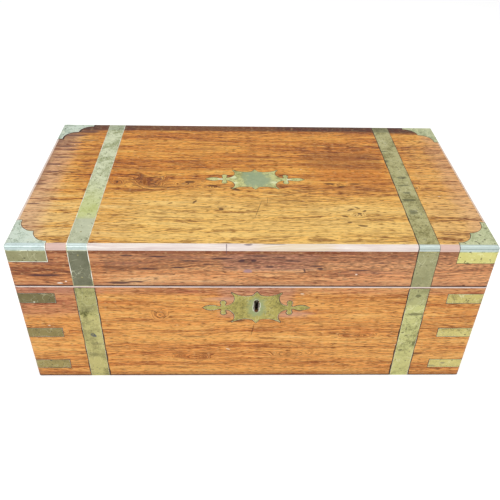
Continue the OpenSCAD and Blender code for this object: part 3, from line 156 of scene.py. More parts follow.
def hardwood(name, tones, along="X", seed=0.0, front=False, light=(), knots=(), stains=(),
             specks=(), spots=(), wear_and_painted_light=(), vein="#5c3220", vein_share=0.6, pores="#4a2614",
             streaks=0.42, gloss=0.42, thread_width=1.0):
    """Open-pored hardwood. Its growth rings meet the face as lines along the board, which
    waver by 12 mm over 200 mm and by 2.8 mm over 24 mm. In a knot they run round it: there
    the distance from its middle takes the place of the distance across the board.
    light lifts or lowers the tone of parts of the board, and tones colours it. streaks is
    how strong the fine streaks are against the broad bands. specks are stains that are
    broken up into crumbs of 1.4 mm by 5 mm. thread_width widens the thin dark lines and
    the pores."""
    material, tree, place, axes = start(name)
    run = axes[along]
    ring = add(tree, "Math", axes["Y" if along == "X" else "X"], axes["Z"], operation="ADD")
    flat = add(tree, "CombineXYZ", run, ring)
    for length, width, sway in ((200, 42, 12), (24, 8, 2.8)):
        cell = add(tree, "VectorMath", flat, (1 / (length * MM), 1 / (width * MM), 0), (seed, seed, 0),
                   operation="MULTIPLY_ADD")
        wave = add(tree, "TexNoise", cell, noise_dimensions="2D", Scale=1.0, Detail=2.0)
        ring = add(tree, "Math", wave, sway * MM, ring, operation="MULTIPLY_ADD")
    # Half of the two sways together, by which the rings outside a knot lie off on average,
    # and half of the distance between a knot's dark rings as a share of its size
    MEAN_SWAY, RING_STEP = 7.4 * MM, 0.19
    KNOT_EDGE, KNOT_WOBBLE = (1.6, 0.9), 0.9
    knot_rings = 0.0
    for x, v, half_x, half_v, lift in knots:
        centre = (x * MM, v * MM + (-CASE_D / 2 if front else CASE_H), 0)
        near = add(tree, "Mapping", flat, centre, (0, 0, 0), (half_x * MM, half_v * MM, 1),
                   vector_type="TEXTURE")
        far = add(tree, "VectorMath", near, operation="LENGTH", out="Value")
        far = add(tree, "Math", wave, KNOT_WOBBLE, far, operation="MULTIPLY_ADD")
        inside = add(tree, "MapRange", far, *KNOT_EDGE, interpolation_type="SMOOTHSTEP")
        round_it = add(tree, "Math", far, lift * MM, centre[1] + MEAN_SWAY, operation="MULTIPLY_ADD")
        ring = add(tree, "Mix", inside, ring, round_it)
        off_ring = add(tree, "Math", far, RING_STEP, operation="PINGPONG")
        dark = add(tree, "MapRange", off_ring, 0.4 * RING_STEP, 0.7 * RING_STEP, 0.0, inside)
        knot_rings = add(tree, "Math", dark, knot_rings, operation="MAXIMUM")
    grain = add(tree, "CombineXYZ", run, ring)
    field = {}
    # Length and width in mm of one cell of each pattern. Real pores are 0.2 mm wide, and are
    # drawn at 0.85 mm or more to show in the render
    for part, length, width, detail, rough in (
            ("bands", 240, 12, 3, 0.55), ("lines", 60, 2.2, 4, 0.62),
            ("veins", 62, 3.6 * thread_width, 2, 0.5), ("hairs", 30, 1.9 * thread_width, 2, 0.5),
            ("pores", 8, 0.85 * thread_width, 2, 0.5), ("flecks", 5, 1.4, 1, 0.5)):
        cell = add(tree, "VectorMath", grain, (1 / (length * MM), 1 / (width * MM), 0),
                   (seed + length, seed - width, 0), operation="MULTIPLY_ADD")
        field[part] = add(tree, "TexNoise", cell, noise_dimensions="2D", Scale=1.0,
                          Detail=float(detail), Roughness=rough)
    cloud = add(tree, "TexNoise", place, Scale=1 / (24 * MM), Detail=5.0, Roughness=0.66)
    # The bands and the finer streaks together keep a mean of one half
    BANDS = 0.26
    tone = add(tree, "Math", field["bands"], BANDS, 0.5 * (1 - BANDS - streaks), operation="MULTIPLY_ADD")
    tone = add(tree, "Math", field["lines"], streaks, tone, operation="MULTIPLY_ADD")
    for limits, lift in light:
        tone = add(tree, "Math", zone(tree, axes, limits), lift, tone, operation="MULTIPLY_ADD")
    body = add(tree, "ValToRGB", tone, stops=tones)
    body = stained(tree, axes, body, cloud, stains)
    # Thin dark lines follow the rings, strong in some bands and faint in others
    thread = add(tree, "ValToRGB", field["veins"], stops=((0.45, 0.0), (0.49, 1.0), (0.51, 1.0), (0.55, 0.0)))
    hair = add(tree, "ValToRGB", field["hairs"], stops=((0.44, 0.0), (0.5, 0.9), (0.56, 0.0)))
    thread = add(tree, "Math", thread, hair, operation="MAXIMUM")
    strong = add(tree, "MapRange", field["bands"], 0.6, 0.4, 0.35, 1.0)
    thread = add(tree, "Math", thread, strong, operation="MULTIPLY")
    flecked = add(tree, "MapRange", field["flecks"], 0.3, 0.5)
    knot_rings = add(tree, "Math", knot_rings, flecked, operation="MULTIPLY")
    thread = add(tree, "Math", thread, knot_rings, operation="MAXIMUM")
    veined = add(tree, "Math", thread, vein_share, operation="MULTIPLY")
    body = add(tree, "Mix", veined, body, colour(vein), data_type="RGBA")
    pore = add(tree, "ValToRGB", field["pores"], stops=((0.3, 0.8), (0.43, 0.0)))
    body = add(tree, "Mix", pore, body, colour(pores), data_type="RGBA")
    fleck = add(tree, "ValToRGB", field["flecks"], stops=((0.6, 0.0), (0.74, 0.25)))
    body = add(tree, "Mix", fleck, body, colour("#f4cf92"), data_type="RGBA")
    body = stained(tree, axes, body, field["flecks"], specks)
    # Wear and dirt go on last, and on some boards a painted highlight, sheen or contact shadow
    body = stained(tree, axes, body, field["lines"], wear_and_painted_light)
    body = spotted(tree, place, body, field["lines"], front, spots)
    # Pores and dark lines are a little sunk, and the pores hold less wax, so they are duller
    rough = add(tree, "MapRange", pore, 0.0, 0.7, gloss, gloss + 0.25)
    height = add(tree, "Math", pore, thread, operation="ADD")
    bump = add(tree, "Bump", Height=height, Strength=0.3, Distance=0.2 * MM, invert=True)
    shader = add(tree, "BsdfPrincipled", Base_Color=body, Roughness=rough, Normal=bump,
                 Specular_IOR_Level=0.2)
    add(tree, "OutputMaterial", shader)
    return material


def dress(material, *nodes):
    """Gives CAD nodes a finish; their shapes stay as they are."""
    for node in nodes:
        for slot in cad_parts[node].material_slots:
            slot.material = material


# The top board: its front half is painted lighter and golder as a painted sheen, and an eye
# of small knots sits left of the middle. Tones run from the dark rings to the pale wood between them.
DAMP, UMBER, ARRIS_WEAR_AND_HIGHLIGHT = "#6a443c", "#3a2219", "#fbf4ec"
BRIM_Y, BRIM_X = (CASE_D / 2 - TOP_ROUND) / MM, (CASE_W / 2 - TOP_ROUND) / MM
BRIM_FOOT = [("Y", -BRIM_Y - 3, -BRIM_Y - 3.8), ("Z", BRIM_Z - 0.9, BRIM_Z - 1.5)]
BRIM_ZONE = [("Y", -BRIM_Y + 1, -BRIM_Y - 0.6), ("Z", BRIM_Z - 1.8, BRIM_Z - 0.8)]
ON_TOP = ("Z", 174, 176)
LEFT_END, RIGHT_END = [("X", -229, -229.7), ("Z", 173, 172)], [("X", 229, 229.7), ("Z", 173, 172)]
END_GRAIN = "#a4623a"
dress(hardwood(
    "waxed_hardwood_top", seed=0.0, vein="#6a2a08", vein_share=0.95, pores="#6e300a", streaks=0.42,
    thread_width=1.3,
    tones=((0.33, "#a0521a"), (0.42, "#d07c2a"), (0.5, "#ec9e40"), (0.58, "#f8ba58"), (0.68, "#fcd080")),
    # The first lift, a painted sheen, makes the front of the top lighter
    light=[([("Y", -5, -80)], 0.125), ([("Y", 90, 60), ("Y", 0, 35)], -0.01),
           ([("X", 50, 100), ("X", 160, 140), ("Y", 50, 10), ("Y", -60, -20)], -0.09),
           ([("X", 165, 190)], 0.05), ([("X", -170, -200)], 0.04),
           ([("Y", 70, 100)], -0.03), ([("Y", -BRIM_Y - 2, -BRIM_Y - 3.9)], -0.09)],
    knots=[(-143, -13, 9, 8, 9), (-108, -9, 17, 15, 13), (-72, -16, 12, 4, 6),
           (-50, -22, 12, 4, 6), (92, -16, 12, 4, 6), (172, -21, 8, 4, 6), (104, -74, 8, 5, 8)],
    stains=[
        # Painted sheen: a gold tint over the front of the top
        ([("Y", 20, -90), ("X", -150, -90), ("X", 190, 120), ON_TOP], "#ffd67c", 0.45, None),
        ([("X", 160, 190), ("Y", 100, 60), ON_TOP], "#f0b266", 0.4, None),
        ([("X", -190, -215), ON_TOP], "#ecc6a4", 0.35, None),
        ([("X", -160, -224)], "#e0b092", 0.45, 0.75),
        ([("X", -205, -226), ("Y", -70, -20)], DAMP, 0.45, 0.9),
        ([("X", -186, -216), ("Y", 24, 80)], DAMP, 0.6, 0.75),
        ([("X", -170, -190), ("Y", 84, 108)], "#553226", 0.7, 0.5),
        (LEFT_END, END_GRAIN, 0.75, None),
        (RIGHT_END, END_GRAIN, 0.75, None),
        ([("X", 165, 224)], "#e6b490", 0.45, 0.75),
        ([("X", -120, -150), ("Y", 98, 112)], DAMP, 0.6, 0.3),
        ([("X", 30, 80), ("X", 165, 140), ("Y", 4, 24), ("Y", 70, 48)], "#8a5a2c", 0.4, 0.6),
        # Darker along the back edge
        ([("Y", 101, 115)], "#44281c", 0.85, 0.3), ([("X", 0, 60), ("Y", 108, 116)], "#2e1a14", 0.8, 0.2),
        ([("X", 120, 170), ("Y", 94, 112)], UMBER, 0.75, 0.5),
        (BRIM_FOOT, "#b4704a", 0.7, 0.0), (BRIM_FOOT, "#7d4c48", 0.6, 0.75)],
    spots=[
        ("#8c4a1a", 0.35, 0.9, [(-108, -9, 24, 18, 0), (-143, -13, 12, 10, 0)]),
        ("#9a5420", 0.5, 0.9, [
            (2, 45, 60, 6, -6), (60, 28, 40, 7, 4), (112, 40, 40, 6, 0), (160, 54, 30, 5, 5),
            (-60, 62, 50, 5, 0), (-108, -30, 30, 4, 0), (-108, 12, 26, 4, 0)]),
        ("#4e2810", 0.8, 0.4, [
            (-66, -12, 7, 2.8, 4), (-41, -20, 9, 2.2, -4), (-18, -26, 8, 2.6, -30), (-92, -23, 24, 1.0, -4),
            (-110, -27, 10, 1.0, -12), (84, -14, 8, 2.6, 0), (96, -19, 6, 2.2, 10), (110, -14, 8, 2, 0),
            (172, -21, 5, 1.6, -20), (106, -71, 3, 2.2, 30), (106, -92, 6, 2, -10), (94, -86, 3, 1.6, 0),
            (98, -64, 5, 1.5, 25), (105, -60, 4, 1.4, -30), (91, -76, 4, 1.7, -20), (112, -66, 3, 1.6, 40),
            (-32, -64, 3.4, 2.6, -40), (-59, -51, 4, 1.6, 60), (-131, 2, 12, 1.0, 24),
            (-118, -13, 2.4, 1.6, 0), (-107, -9, 3, 1.2, 0), (-143, -13, 1.6, 2.6, 0), (40, -48, 14, 0.8, 2),
            (-50, -60, 16, 0.7, -3), (-125, -7, 8, 0.9, 30), (-122, -20, 8, 0.9, -24),
            (-104, -17, 6, 0.9, -30), (-104, -2, 6, 0.9, 20)]),
        (DAMP, 0.8, 0.5, [
            (-214, 66, 16, 2.4, 0), (-206, 58, 12, 1.8, 0), (-212, 40, 14, 2, 0), (-218, 24, 12, 2.4, 0),
            (-216, 8, 10, 1.6, 0), (-222, -18, 8, 1.8, 0), (-220, -56, 9, 1.5, 0), (-208, 94, 20, 3, 0),
            (-190, 82, 14, 2, 0), (-196, 104, 16, 3, 0), (-204, 76, 10, 1.6, 0)]),
        ("#f7e4d0", 0.6, 0.4, [
            (-205, 70, 1, 1, 0), (-212, 20, 1.2, 1, 0), (195, -38, 1.6, 1, 0), (55, 16, 1.4, 0.8, 0)]),
        ("#5c4450", 0.7, 0.4, [(-6, -123, 5, 1.4, 0), (-26, -124, 0.7, 3, 0), (18, -122.4, 12, 0.6, 0)]),
        ("#6d4426", 0.55, 0.25, [(5.5, -63, 19, 0.5, 76), (15, -48, 8, 0.4, 84)])],
    wear_and_painted_light=[
        # Painted sheen: a faint further gold tint over the front of the top
        ([("Y", -10, -110), ("X", -160, -100), ("X", 200, 130), ON_TOP], "#ffcf68", 0.15, None),
        # Pale rounded front edge of the top: worn wood, with a painted highlight
        (BRIM_ZONE, ARRIS_WEAR_AND_HIGHLIGHT, 0.95, 0.0), (BRIM_ZONE, "#bf9c9c", 0.75, 1.25),
        (BRIM_ZONE + [("X", -150, -170)], "#d6ada0", 0.75, 0.6),
        (BRIM_ZONE + [("X", 150, 175)], "#d8b0a2", 0.75, 0.6),
        (BRIM_ZONE + [("X", -60, 20), ("X", 120, 60)], "#e8d4a8", 0.6, 0.95),
        # Pale rounded end edges of the top: worn wood, with a painted highlight
        ([("X", -BRIM_X + 1, -BRIM_X - 1), ("Z", 172.8, 173.6)], "#efdccf", 0.85, 0.2),
        ([("X", BRIM_X - 1, BRIM_X + 1), ("Z", 172.8, 173.6)], "#ecd6c4", 0.8, 0.3),
        ([("Y", BRIM_Y + 1, BRIM_Y + 2.5)], "#9c8478", 0.6, 0.6)]), "lid_top")

# The walls of the lid: their upper half is rough with pores that old purple-brown wax
# has filled, and a dark line of dirt follows the joint.
DIRT_LINE = ([("J", 2.1, 1.3)], "#45302a", 0.85, 0.1)
dress(hardwood(
    "waxed_hardwood_lid_walls", seed=3.1, front=True, vein="#5a2f26", vein_share=0.7, pores="#4a2a24",
    tones=((0.33, "#925434"), (0.42, "#c27c4a"), (0.5, "#e6a066"), (0.58, "#f0b67c"), (0.68, "#f5cc9e")),
    light=[([("X", -120, -175)], -0.09), ([("X", -40, 120)], 0.03)],
    specks=[([("Z", 138, 150), ("X", -170, -140)], "#54302a", 0.8, 1.3)],
    stains=[
        ([("Z", 146, 160)], "#a8705c", 0.25, 0.75),
        ([("X", 40, 90)], "#f0a874", 0.45, None),
        ([("J", 14, 4)], "#8a5246", 0.35, 0.9),
        ([("X", -60, -20), ("X", 90, 50), ("Z", 140, 150)], "#b98a84", 0.3, 0.85)],
    spots=[
        ("#8b6060", 0.22, 0.9, [
            (-52, 164, 80, 3, 0), (20, 152, 60, 4, 0), (-120, 156, 30, 4, 0), (120, 146, 50, 3, 0),
            (-200, 156, 24, 3, 0)]),
        ("#3c2832", 0.8, 0.5, [
            (-12, 160.3, 4, 2.4, 10), (-0.6, 160.2, 3.4, 2, 0), (48, 148.5, 1.4, 3, 20), (63, 150.6, 4, 2, 0),
            (15, 153, 5, 1.6, 10), (-30, 163, 12, 1.2, 0), (4, 166, 14, 1, 0), (36, 160, 12, 1.2, 0),
            (60, 154, 9, 1.2, 0), (-60, 160, 14, 1, 0), (-128, 133, 14, 2.2, 0), (-112, 134.5, 12, 1.4, 0),
            (-197, 142, 20, 1.6, 0), (-90, 165, 10, 1, 0), (-118, 166, 8, 1.2, 0), (-100, 150, 12, 0.8, 0),
            (165, 152, 10, 1.4, 0), (100, 149, 12, 0.9, 0), (-72, 152, 8, 1, 0), (-44, 156, 7, 0.9, 0),
            (24, 164, 8, 0.9, 0), (-84, 144, 10, 0.7, 0), (74, 164, 10, 0.9, 0), (44, 146, 9, 0.8, 0),
            (120, 158, 10, 0.8, 0), (-24, 152, 8, 0.9, 0)]),
        ("#b08c90", 0.85, 0.4, [(-5.8, 147.9, 5.5, 2.4, 0)]),
        ("#f3e4d4", 0.9, 0.3, [(-185, 132.5, 3, 1, 0), (-179, 134.5, 1.2, 0.9, 0), (98, 144, 1.2, 0.8, 0)])],
    wear_and_painted_light=[DIRT_LINE]), "lid_front", "lid_back")
dress(hardwood(
    "waxed_hardwood_lid_ends", along="Y", seed=6.4,
    tones=((0.33, "#80462a"), (0.42, "#b06834"), (0.5, "#d08646"), (0.58, "#e09c54"), (0.68, "#edb670")),
    stains=[([("Z", 150, 165)], "#8a5a52", 0.5, 0.85)], wear_and_painted_light=[DIRT_LINE]), "lid_left", "lid_right")

# The walls of the base: lighter than the lid's, with a small knot left of the lock, with a
# pale worn arris along the joint that also carries a painted highlight, and with a dark line
# of painted contact shadow where the box stands.
JOINT_ARRIS_AND_HIGHLIGHT = ([("J", -1.7, -1.0), ("Y", -120, -126)], "#ede0da", 0.95, 0.1)
# Painted contact shadow: a dark line along the foot of the walls
FOOT_SHADOW = ([("Z", 3.0, 1.8)], "#33241f", 0.9, 0.25)
dress(hardwood(
    "waxed_hardwood_base_walls", seed=9.7, front=True, vein="#74381a", vein_share=0.75, pores="#6e3616",
    streaks=0.36,
    tones=((0.33, "#a2562c"), (0.42, "#d2803e"), (0.5, "#eca456"), (0.58, "#f4b866"), (0.68, "#f9cc88")),
    light=[([("Z", 95, 70), ("Z", 20, 40)], 0.015), ([("X", 0, 120)], 0.01)],
    knots=[(-93, 91, 9, 7, 14), (-60, 30, 22, 5, 9), (40, 34, 26, 5, 10), (110, 62, 20, 4, 8),
           (-196, 66, 10, 4, 8)],
    stains=[
        ([("X", -150, -180), ("Z", 60, 100)], "#b5786a", 0.45, 0.7),
        ([("J", -26, -4)], "#c08474", 0.35, 0.8), ([("J", -26, -4), ("X", -110, -160)], "#b87c6c", 0.4, 0.7),
        ([("X", -60, -20), ("X", 60, 30), ("Z", 80, 90)], "#c99684", 0.45, 0.6),
        ([("Z", 14, 4)], "#9a582c", 0.45, 0.7)],
    spots=[
        ("#4c2a1c", 0.75, 0.45, [
            (-15, 83, 9, 1.8, 0), (-22, 82, 5, 1.4, 0), (32, 103, 8, 1.2, 0), (172, 34, 14, 1.4, 4),
            (0.5, 70.5, 10, 0.6, 80), (-88, 88, 3, 0.8, 40), (-97, 95, 3, 0.8, -40), (120, 45, 16, 0.8, 0),
            (-80, 14, 14, 0.9, 0), (16, 58, 12, 0.8, 0), (-60, 60, 16, 0.7, 0), (90, 64, 14, 0.7, 0),
            (156, 22, 8, 0.9, 0)]),
        ("#f3ddc0", 0.8, 0.4, [
            (-25, 42, 3, 1.1, -20), (48, 119, 2.4, 1, 0), (152, 48, 1.4, 0.8, 0), (-205, 76, 1.6, 0.8, 0)]),
        ("#cfa292", 0.5, 0.9, [(44, 92, 24, 6, 0), (-30, 112, 30, 4, 0)])],
    wear_and_painted_light=[JOINT_ARRIS_AND_HIGHLIGHT, FOOT_SHADOW]), "base_front", "base_back")
dress(hardwood(
    "waxed_hardwood_base_ends", along="Y", seed=12.3,
    tones=((0.33, "#884a26"), (0.42, "#b86c32"), (0.5, "#d68c46"), (0.58, "#e4a252"), (0.68, "#eeba6c")),
    stains=[([("Z", 16, 4)], "#8f522a", 0.5, 0.7), ([("J", -24, -4)], "#b07460", 0.4, 0.8)],
    # Pale joint line, a worn arris with a painted highlight, and painted contact shadow at the foot
    wear_and_painted_light=[([("J", -1.7, -1.0)], "#d8bcae", 0.6, 0.4), FOOT_SHADOW]), "base_left", "base_right")


# The woodwork inside: the same kind of wood, planed and left without wax, in a duller and
# darker tone. The two flaps were polished, because they are written on.
dress(hardwood(
    "planed_hardwood_inside", seed=15.9, gloss=0.55, vein="#4a2818", vein_share=0.5,
    tones=((0.33, "#5c3520"), (0.42, "#7c4a2a"), (0.5, "#976036"), (0.58, "#a97143"), (0.68, "#ba8756"))),
      "base_bottom", "tray_shelf", "base_bearers", "lid_bearers", "tray_divider", "pen_tray")
dress(hardwood(
    "polished_hardwood_flaps", seed=18.2, gloss=0.3, vein="#4a2416", vein_share=0.5,
    tones=((0.33, "#5f3420"), (0.42, "#814a28"), (0.5, "#9f6334"), (0.58, "#b47840"), (0.68, "#c68e54"))),
      "base_flap", "lid_flap")


# The brass bands and plates: sheet brass 1.2 mm thick, sawn out, let in flush and pinned,
# then filed level with the wood. It was once polished and has dulled to a mottled
# green-yellow with fine scratches.
def aged_brass(name, bright, dull, seed=0.0, front=False, stains=(), spots=(), wear_and_painted_light=(), pits=0.5, scuff=0.45,
               rough=0.42, metal=0.75):
    """Old sheet brass. Its tarnish is a sum of clouds 22 mm across, mottles of 6 mm and
    grains of 1.6 mm, with dark pits of 2 mm and curved scratches, which are 0.1 mm wide on
    the real one and drawn at 0.5 mm to show."""
    material, tree, place, axes = start(name)
    moved = add(tree, "VectorMath", place, (seed, -seed, 0.5 * seed), operation="ADD")
    tarnish, patch = 0, {}
    for size, share, detail in ((22, 0.4, 2), (6, 0.3, 2), (1.6, 0.3, 2)):
        patch[size] = add(tree, "TexNoise", moved, Scale=1 / (size * MM), Detail=float(detail), Roughness=0.6)
        tarnish = add(tree, "Math", patch[size], share, tarnish, operation="MULTIPLY_ADD")
    body = add(tree, "ValToRGB", tarnish, stops=((0.41, dull), (0.53, bright)))
    cloud = patch[6]
    body = stained(tree, axes, body, cloud, stains)
    pit = add(tree, "TexNoise", moved, Scale=1 / (3.2 * MM), Detail=1.0)
    pit = add(tree, "ValToRGB", pit, stops=((0.27, pits), (0.35, 0.0)))
    body = add(tree, "Mix", pit, body, colour("#4e4a34"), data_type="RGBA")
    # A scratch runs where a bent noise passes through one half, in sweeps of 14 and 9 mm
    line = 0
    for size, breadth in ((14, 0.012), (9, 0.018)):
        curl = add(tree, "TexNoise", moved, Scale=1 / (size * MM), Detail=0.0, Distortion=0.6)
        curl = add(tree, "ValToRGB", curl, stops=((0.5 - breadth, 0.0), (0.5, 1.0), (0.5 + breadth, 0.0)))
        line = add(tree, "Math", curl, line, operation="MAXIMUM")
    # A scratch shows only where the tarnish round it is thick
    scuffed = add(tree, "MapRange", patch[22], 0.4, 0.6, 0.0, scuff)
    line = add(tree, "Math", line, scuffed, operation="MULTIPLY")
    body = add(tree, "Mix", line, body, colour("#eeeecb"), data_type="RGBA")
    body = spotted(tree, place, body, cloud, front, spots)
    # Wear goes on last, and on bent edges a painted reflection
    body = stained(tree, axes, body, cloud, wear_and_painted_light)
    gloss = add(tree, "MapRange", tarnish, 0.4, 0.58, rough + 0.12, rough - 0.05)
    height = add(tree, "Math", pit, line, tarnish, operation="MULTIPLY_ADD")
    bump = add(tree, "Bump", Height=height, Strength=0.25, Distance=0.15 * MM)
    shader = add(tree, "BsdfPrincipled", Base_Color=body, Metallic=metal, Roughness=gloss, Normal=bump)
    add(tree, "OutputMaterial", shader)
    return material


# Where a strap bends over the front edge it is rubbed bright, and a pale blue band is painted
# there as a painted reflection, with a finer blue-grey stripe that is painted reflection too
EDGE_RUB_AND_REFLECTION = [([("Z", BRIM_Z - 2, BRIM_Z - 0.5), ("Y", -BRIM_Y + 1, -BRIM_Y - 0.5)], "#b7c6c6", 0.85, 0.1),
            ([("Z", BRIM_Z + 1.0, BRIM_Z + 1.4), ("Z", BRIM_Z + 2.0, BRIM_Z + 1.7),
              ("Y", -BRIM_Y, -BRIM_Y - 1)], "#75867e", 0.7, 0.0)]
ON_FRONT = ("Z", 172, 170)      # the part of a lid strap or corner that hangs down over the wall
dress(aged_brass(
    "aged_brass_lid_strap_left", "#dadfbc", "#a0a67c", 1.0, scuff=0.4,
    stains=[([("Y", -84, -81), ("Y", 0, -70)], "#c6cc76", 0.65, None),
            ([("Y", -76, -84)], "#b4b89e", 0.6, None),
            ([ON_FRONT], "#585844", 0.85, 0.2), ([("Y", 104, 112)], "#97a28c", 0.6, 0.2)],
    wear_and_painted_light=EDGE_RUB_AND_REFLECTION), "lid_strap_left")
dress(aged_brass(
    "aged_brass_lid_strap_right", "#bcb680", "#878150", 2.0,
    stains=[([ON_FRONT], "#94946f", 0.8, 0.3), ([("Y", 104, 114)], "#6f7050", 0.7, 0.2)],
    spots=[("#55583c", 0.7, 0.6, [
        (154, 37, 7, 5, 0), (164, 0, 7, 4, 0), (163, -16, 9, 2, 0), (163, -31, 6, 3, 0),
        (161, -45, 9, 3, 0), (160, -67, 5, 6, 0), (153, 60, 9, 2, 0)])],
    wear_and_painted_light=EDGE_RUB_AND_REFLECTION), "lid_strap_right")
dress(aged_brass(
    "aged_brass_lid_corners_left", "#d6e2d2", "#a0b09c", 3.0, pits=0.8, scuff=0.6,
    stains=[([ON_FRONT], "#a8a478", 0.9, 0.2), ([ON_FRONT], "#66643f", 0.5, 0.9)],
    wear_and_painted_light=EDGE_RUB_AND_REFLECTION), "lid_corner_front_left", "lid_corner_back_left")
dress(aged_brass(
    "aged_brass_lid_corners_right", "#cbd0a4", "#a3aa80", 4.0, pits=0.8,
    stains=[([ON_FRONT, ("Y", 0, -100)], "#cfc878", 0.85, 0.2)],
    wear_and_painted_light=EDGE_RUB_AND_REFLECTION), "lid_corner_front_right", "lid_corner_back_right")
dress(aged_brass(
    "aged_brass_base_strap_left", "#aeaa6c", "#5f5f34", 5.0, front=True, scuff=0.3,
    stains=[([("Z", 100, 80)], "#c2bb80", 0.45, 0.5), ([("Z", 84, 100)], "#8d8b62", 0.4, 0.4)],
    spots=[("#4f5560", 0.85, 0.4, [(-162, 62, 4, 2.6, -30)]),
           ("#7c7950", 0.5, 0.8, [(-163, 100, 9, 4, 0), (-160, 50, 9, 3, 0), (-164, 34, 8, 5, 0)])]),
      "base_strap_left")
dress(aged_brass(
    "aged_brass_base_strap_right", "#babb7e", "#7f8050", 6.0, front=True, scuff=0.35,
    stains=[([("Z", 60, 30)], "#c2c082", 0.5, 0.4), ([("Z", 100, 108)], "#98966c", 0.6, 0.2)],
    spots=[("#57573a", 0.7, 0.5, [
        (170.5, 51, 1.6, 3.4, 0), (163, 117, 4, 2, 0), (165, 92, 9, 2.5, 0), (158, 40, 3, 1.4, 0),
        (156, 66, 2, 1.4, 0)])]), "base_strap_right")
dress(aged_brass(
    "aged_brass_corner_straps", "#beb26c", "#82784a", 7.0, front=True, pits=0.9,
    stains=[([("X", 0, -50)], "#8c7f50", 0.75, 0.3), ([("X", 0, -50), ("Z", 76, 96)], "#5c563c", 0.7, 0.3),
            ([("X", 0, -50), ("Z", 40, 52), ("Z", 90, 80)], "#7d7046", 0.6, 0.3),
            ([("X", 0, 50), ("Z", 80, 60)], "#cfc780", 0.5, 0.3)],
    spots=[("#6b6d64", 0.6, 0.6, [(208, 20, 4, 2, 0), (196, 16, 7, 1.2, 0)]),
           ("#e0e0c8", 0.8, 0.3, [(-206, 106, 1.6, 1, 0), (-222, 103, 4, 1, 0), (-214, 108, 1, 0.8, 0)])]),
      "base_corner_straps")
dress(aged_brass("aged_brass_back_straps", "#b8b276", "#928d58", 8.0), "base_back_straps")
dress(aged_brass(
    "aged_brass_keyhole_plate", "#a89f58", "#7c7640", 9.0, front=True, rough=0.38, scuff=0.25,
    spots=[("#8a9a72", 0.75, 0.5, [(3.6, 100.7, 12, 17, 0)]),
           ("#d3d8c4", 0.8, 0.3, [(3.6, 102.3, 4.6, 9.5, 0)]),
           ("#1d1a12", 0.95, 0.2, [(3.6, 102.6, 3.3, 8.4, 0)])]), "escutcheon")
dress(aged_brass(
    "aged_brass_cartouche", "#d0d08c", "#9c9a5c", 10.0, scuff=0.3, rough=0.38,
    spots=[("#98aa88", 0.85, 0.5, [(5, -5.5, 20, 24, 25)]),
           ("#f2f4d0", 0.7, 0.5, [(-34, -5.5, 3.4, 7, 0), (40, -5.5, 3.4, 7, 0)]),
           ("#eef2c2", 0.7, 0.6, [(-20, -1, 5, 4, 0), (-18, -13, 5, 3, 0), (24, -12, 6, 3, 0)])]),
      "cartouche")
dress(aged_brass("aged_brass_pins", "#9a9468", "#7d774e", 11.0, rough=0.36),
      "base_strap_pins", "lid_strap_pins")


# Dirt lines and bright edges: wax and dirt have gathered as a fine bead in the joint round
# most of the inlaid pieces, and the filed edges of the brass have stayed bright where hands
# rub them.
def skin_depth(points):
    """How deep points lie below the skin of the case, in metres: the case is where three
    rounded rectangles, seen along X, Y and Z, all cover a point."""
    def below(u, v, half_u, half_v, r):
        qu, qv = np.abs(u) - half_u + r, np.abs(v) - half_v + r
        return r - np.hypot(np.maximum(qu, 0), np.maximum(qv, 0)) - np.minimum(np.maximum(qu, qv), 0)
    x, y, z = points.T
    up = z - CASE_H / 2
    r = np.where(up > 0, TOP_ROUND, FOOT_ROUND)
    from_front = below(x, up, CASE_W / 2, CASE_H / 2, r)
    from_side = below(y, up, CASE_D / 2, CASE_H / 2, r)
    from_above = below(x, y, CASE_W / 2, CASE_D / 2, TOP_ROUND)
    return np.minimum(np.minimum(from_front, from_side), from_above)


def rim(node):
    """Where the outer face of an inlaid piece ends: the edges that only one of its
    triangles on the skin has, with the skin's normal at each. A triangle is on the skin
    where it lies there and PROBE along its normal leaves the case."""
    WELD, ON_SKIN, PROBE, RISE, SLIVER = 0.002 * MM, 0.28 * MM, 0.5 * MM, 0.3 * MM, 1e-14
    # The filed holes of the pins have edges of 0.14 mm, and get no bead
    HOLE_EDGE = 0.2 * MM
    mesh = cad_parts[node].data
    points = np.empty(len(mesh.vertices) * 3)
    mesh.vertices.foreach_get("co", points)
    points = points.reshape(-1, 3)
    mesh.calc_loop_triangles()
    corners = np.empty(len(mesh.loop_triangles) * 3, int)
    mesh.loop_triangles.foreach_get("vertices", corners)
    _, first, same = np.unique(np.round(points / WELD).astype(np.int64), axis=0,
                               return_index=True, return_inverse=True)
    points, corners = points[first], same.reshape(-1)[corners].reshape(-1, 3)
    a, b, c = (points[corners[:, k]] for k in range(3))
    normal = np.cross(b - a, c - a)
    size = np.linalg.norm(normal, axis=1)
    middle = (a + b + c) / 3
    outside = middle + normal / (size[:, None] + 1e-20) * PROBE
    depth = skin_depth(middle)
    keep = (depth < ON_SKIN) & (skin_depth(outside) < depth - RISE) & (size > SLIVER)
    corners, normal = corners[keep], normal[keep] / size[keep, None]
    ends = np.concatenate([corners[:, [0, 1]], corners[:, [1, 2]], corners[:, [2, 0]]])
    normal = np.tile(normal, (3, 1))
    count = len(points)
    alone = ~np.isin(ends[:, 0] * count + ends[:, 1], ends[:, 1] * count + ends[:, 0])
    alone &= np.linalg.norm(points[ends[:, 1]] - points[ends[:, 0]], axis=1) > HOLE_EDGE
    return points, ends[alone], normal[alone]


